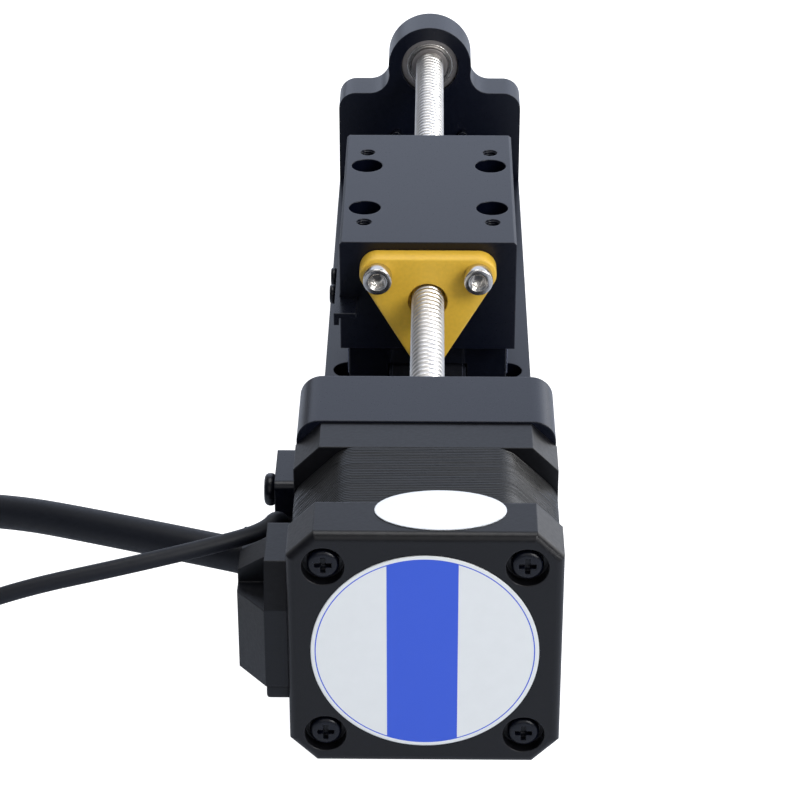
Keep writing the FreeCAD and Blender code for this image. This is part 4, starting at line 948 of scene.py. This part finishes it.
# %% Thread ridges
RIDGE_PITCH, RIDGE_COUNT = 0.5, 12
RIDGE_RADIUS, RIDGE_HALF = 1.46, 0.2
FIRST_RIDGE = 0.45
HOLE_X, HOLE_Y = 12.5, 16.5
block_low, block_high = size_of("carriage_block")
middle_y = (block_low.y + block_high.y) / 2
clear_selection()
bpy.ops.mesh.primitive_torus_add(
    major_radius=RIDGE_RADIUS * MM, minor_radius=RIDGE_HALF * MM, major_segments=28, minor_segments=8
)
ridge = settle(bpy.context.active_object, "ridge", (0, 0, block_high.z - FIRST_RIDGE))
stack(ridge, RIDGE_COUNT, (0, 0, -RIDGE_PITCH))
places = [(a * HOLE_X, middle_y + b * HOLE_Y, 0) for a in (-1, 1) for b in (-1, 1)]
close(copies(ridge, "tapped_hole_ridges", places), "carriage", ANODISED)

# %% [markdown]
# ## Floor and light
# The machine stands on a plain white floor in soft light. Black parts show only what they reflect, so
# where the lamps stand matters more than their strength. A wide panel behind gives the flat tops their
# even grey, and two more, right and left of it, run along the sides of the bright screw. One lamp in
# front, from the right and above, lights the yellow nut and the labels. A lamp overhead and a soft panel
# in front fill in, so that the tops show from behind as well. The faces that look at the camera mirror
# only the dark base and the dim floor, and stay black.

# %% Floor
clear_selection()
bpy.ops.mesh.primitive_plane_add(size=8)
floor = bpy.context.active_object
floor.name = "floor"
floor_paint = bpy.data.materials.new("floor_white")
floor_paint.use_nodes = True
floor_nodes = floor_paint.node_tree.nodes
floor_link = floor_paint.node_tree.links.new
seen = floor_nodes["Principled BSDF"]
seen.inputs["Base Color"].default_value = (0.5, 0.5, 0.5, 1)
seen.inputs["Roughness"].default_value = 0.9
seen.inputs["Specular IOR Level"].default_value = 0.0
seen.inputs["Emission Color"].default_value = (1.0, 1.0, 1.0, 1)
seen.inputs["Emission Strength"].default_value = 0.96
dim = floor_nodes.new("ShaderNodeBsdfDiffuse")
dim.inputs["Color"].default_value = (0.58, 0.62, 0.70, 1)
path = floor_nodes.new("ShaderNodeLightPath")
mixed = floor_nodes.new("ShaderNodeMixShader")
floor_link(path.outputs["Is Camera Ray"], mixed.inputs["Fac"])
floor_link(dim.outputs["BSDF"], mixed.inputs[1])
floor_link(seen.outputs["BSDF"], mixed.inputs[2])
floor_link(mixed.outputs["Shader"], floor_nodes["Material Output"].inputs["Surface"])
floor.data.materials.append(floor_paint)
print("floor ready")

# %% Surround
world = bpy.data.worlds.new("surround")
world.use_nodes = True
world_nodes = world.node_tree.nodes
ray = world_nodes.new("ShaderNodeLightPath")
level = world_nodes.new("ShaderNodeMix")
level.data_type = "RGBA"
level.inputs["A"].default_value = (0.12, 0.13, 0.155, 1)
level.inputs["B"].default_value = (1.0, 1.0, 1.0, 1)
world.node_tree.links.new(ray.outputs["Is Camera Ray"], level.inputs["Factor"])
world.node_tree.links.new(level.outputs["Result"], world_nodes["Background"].inputs["Color"])
bpy.context.scene.world = world
print("surround ready")


# %% Lamps
def lamp(name, place, target, size, power, color=(1.0, 1.0, 1.0)):
    """A soft panel that faces a target: places and size in metres, power in watts."""
    light = bpy.data.lights.new(name, "AREA")
    light.color = color
    light.shape = "RECTANGLE"
    light.size, light.size_y = size
    light.energy = power
    made = bpy.data.objects.new(name, light)
    bpy.context.collection.objects.link(made)
    made.location = place
    made.rotation_euler = (Vector(target) - Vector(place)).to_track_quat("-Z", "Y").to_euler()
    return made


MIDDLE = (0, 0, 0.04)
lamp("back_light", (0.10, 1.05, 0.55), MIDDLE, (1.5, 1.1), 6.4, (0.74, 0.82, 1.0))
lamp("right_light", (0.95, 0.60, 0.35), MIDDLE, (1.0, 0.9), 6.5)
lamp("left_light", (-0.95, 0.60, 0.35), MIDDLE, (1.0, 0.9), 1.2)
lamp("front_light", (0.85, -0.70, 0.80), MIDDLE, (0.7, 0.7), 14)
lamp("front_panel", (0.10, -1.15, 0.80), MIDDLE, (1.6, 1.0), 3.5)
lamp("top_light", (-0.1, 0.1, 1.3), MIDDLE, (0.8, 0.8), 7)
print("lamps:", len(bpy.data.lights))
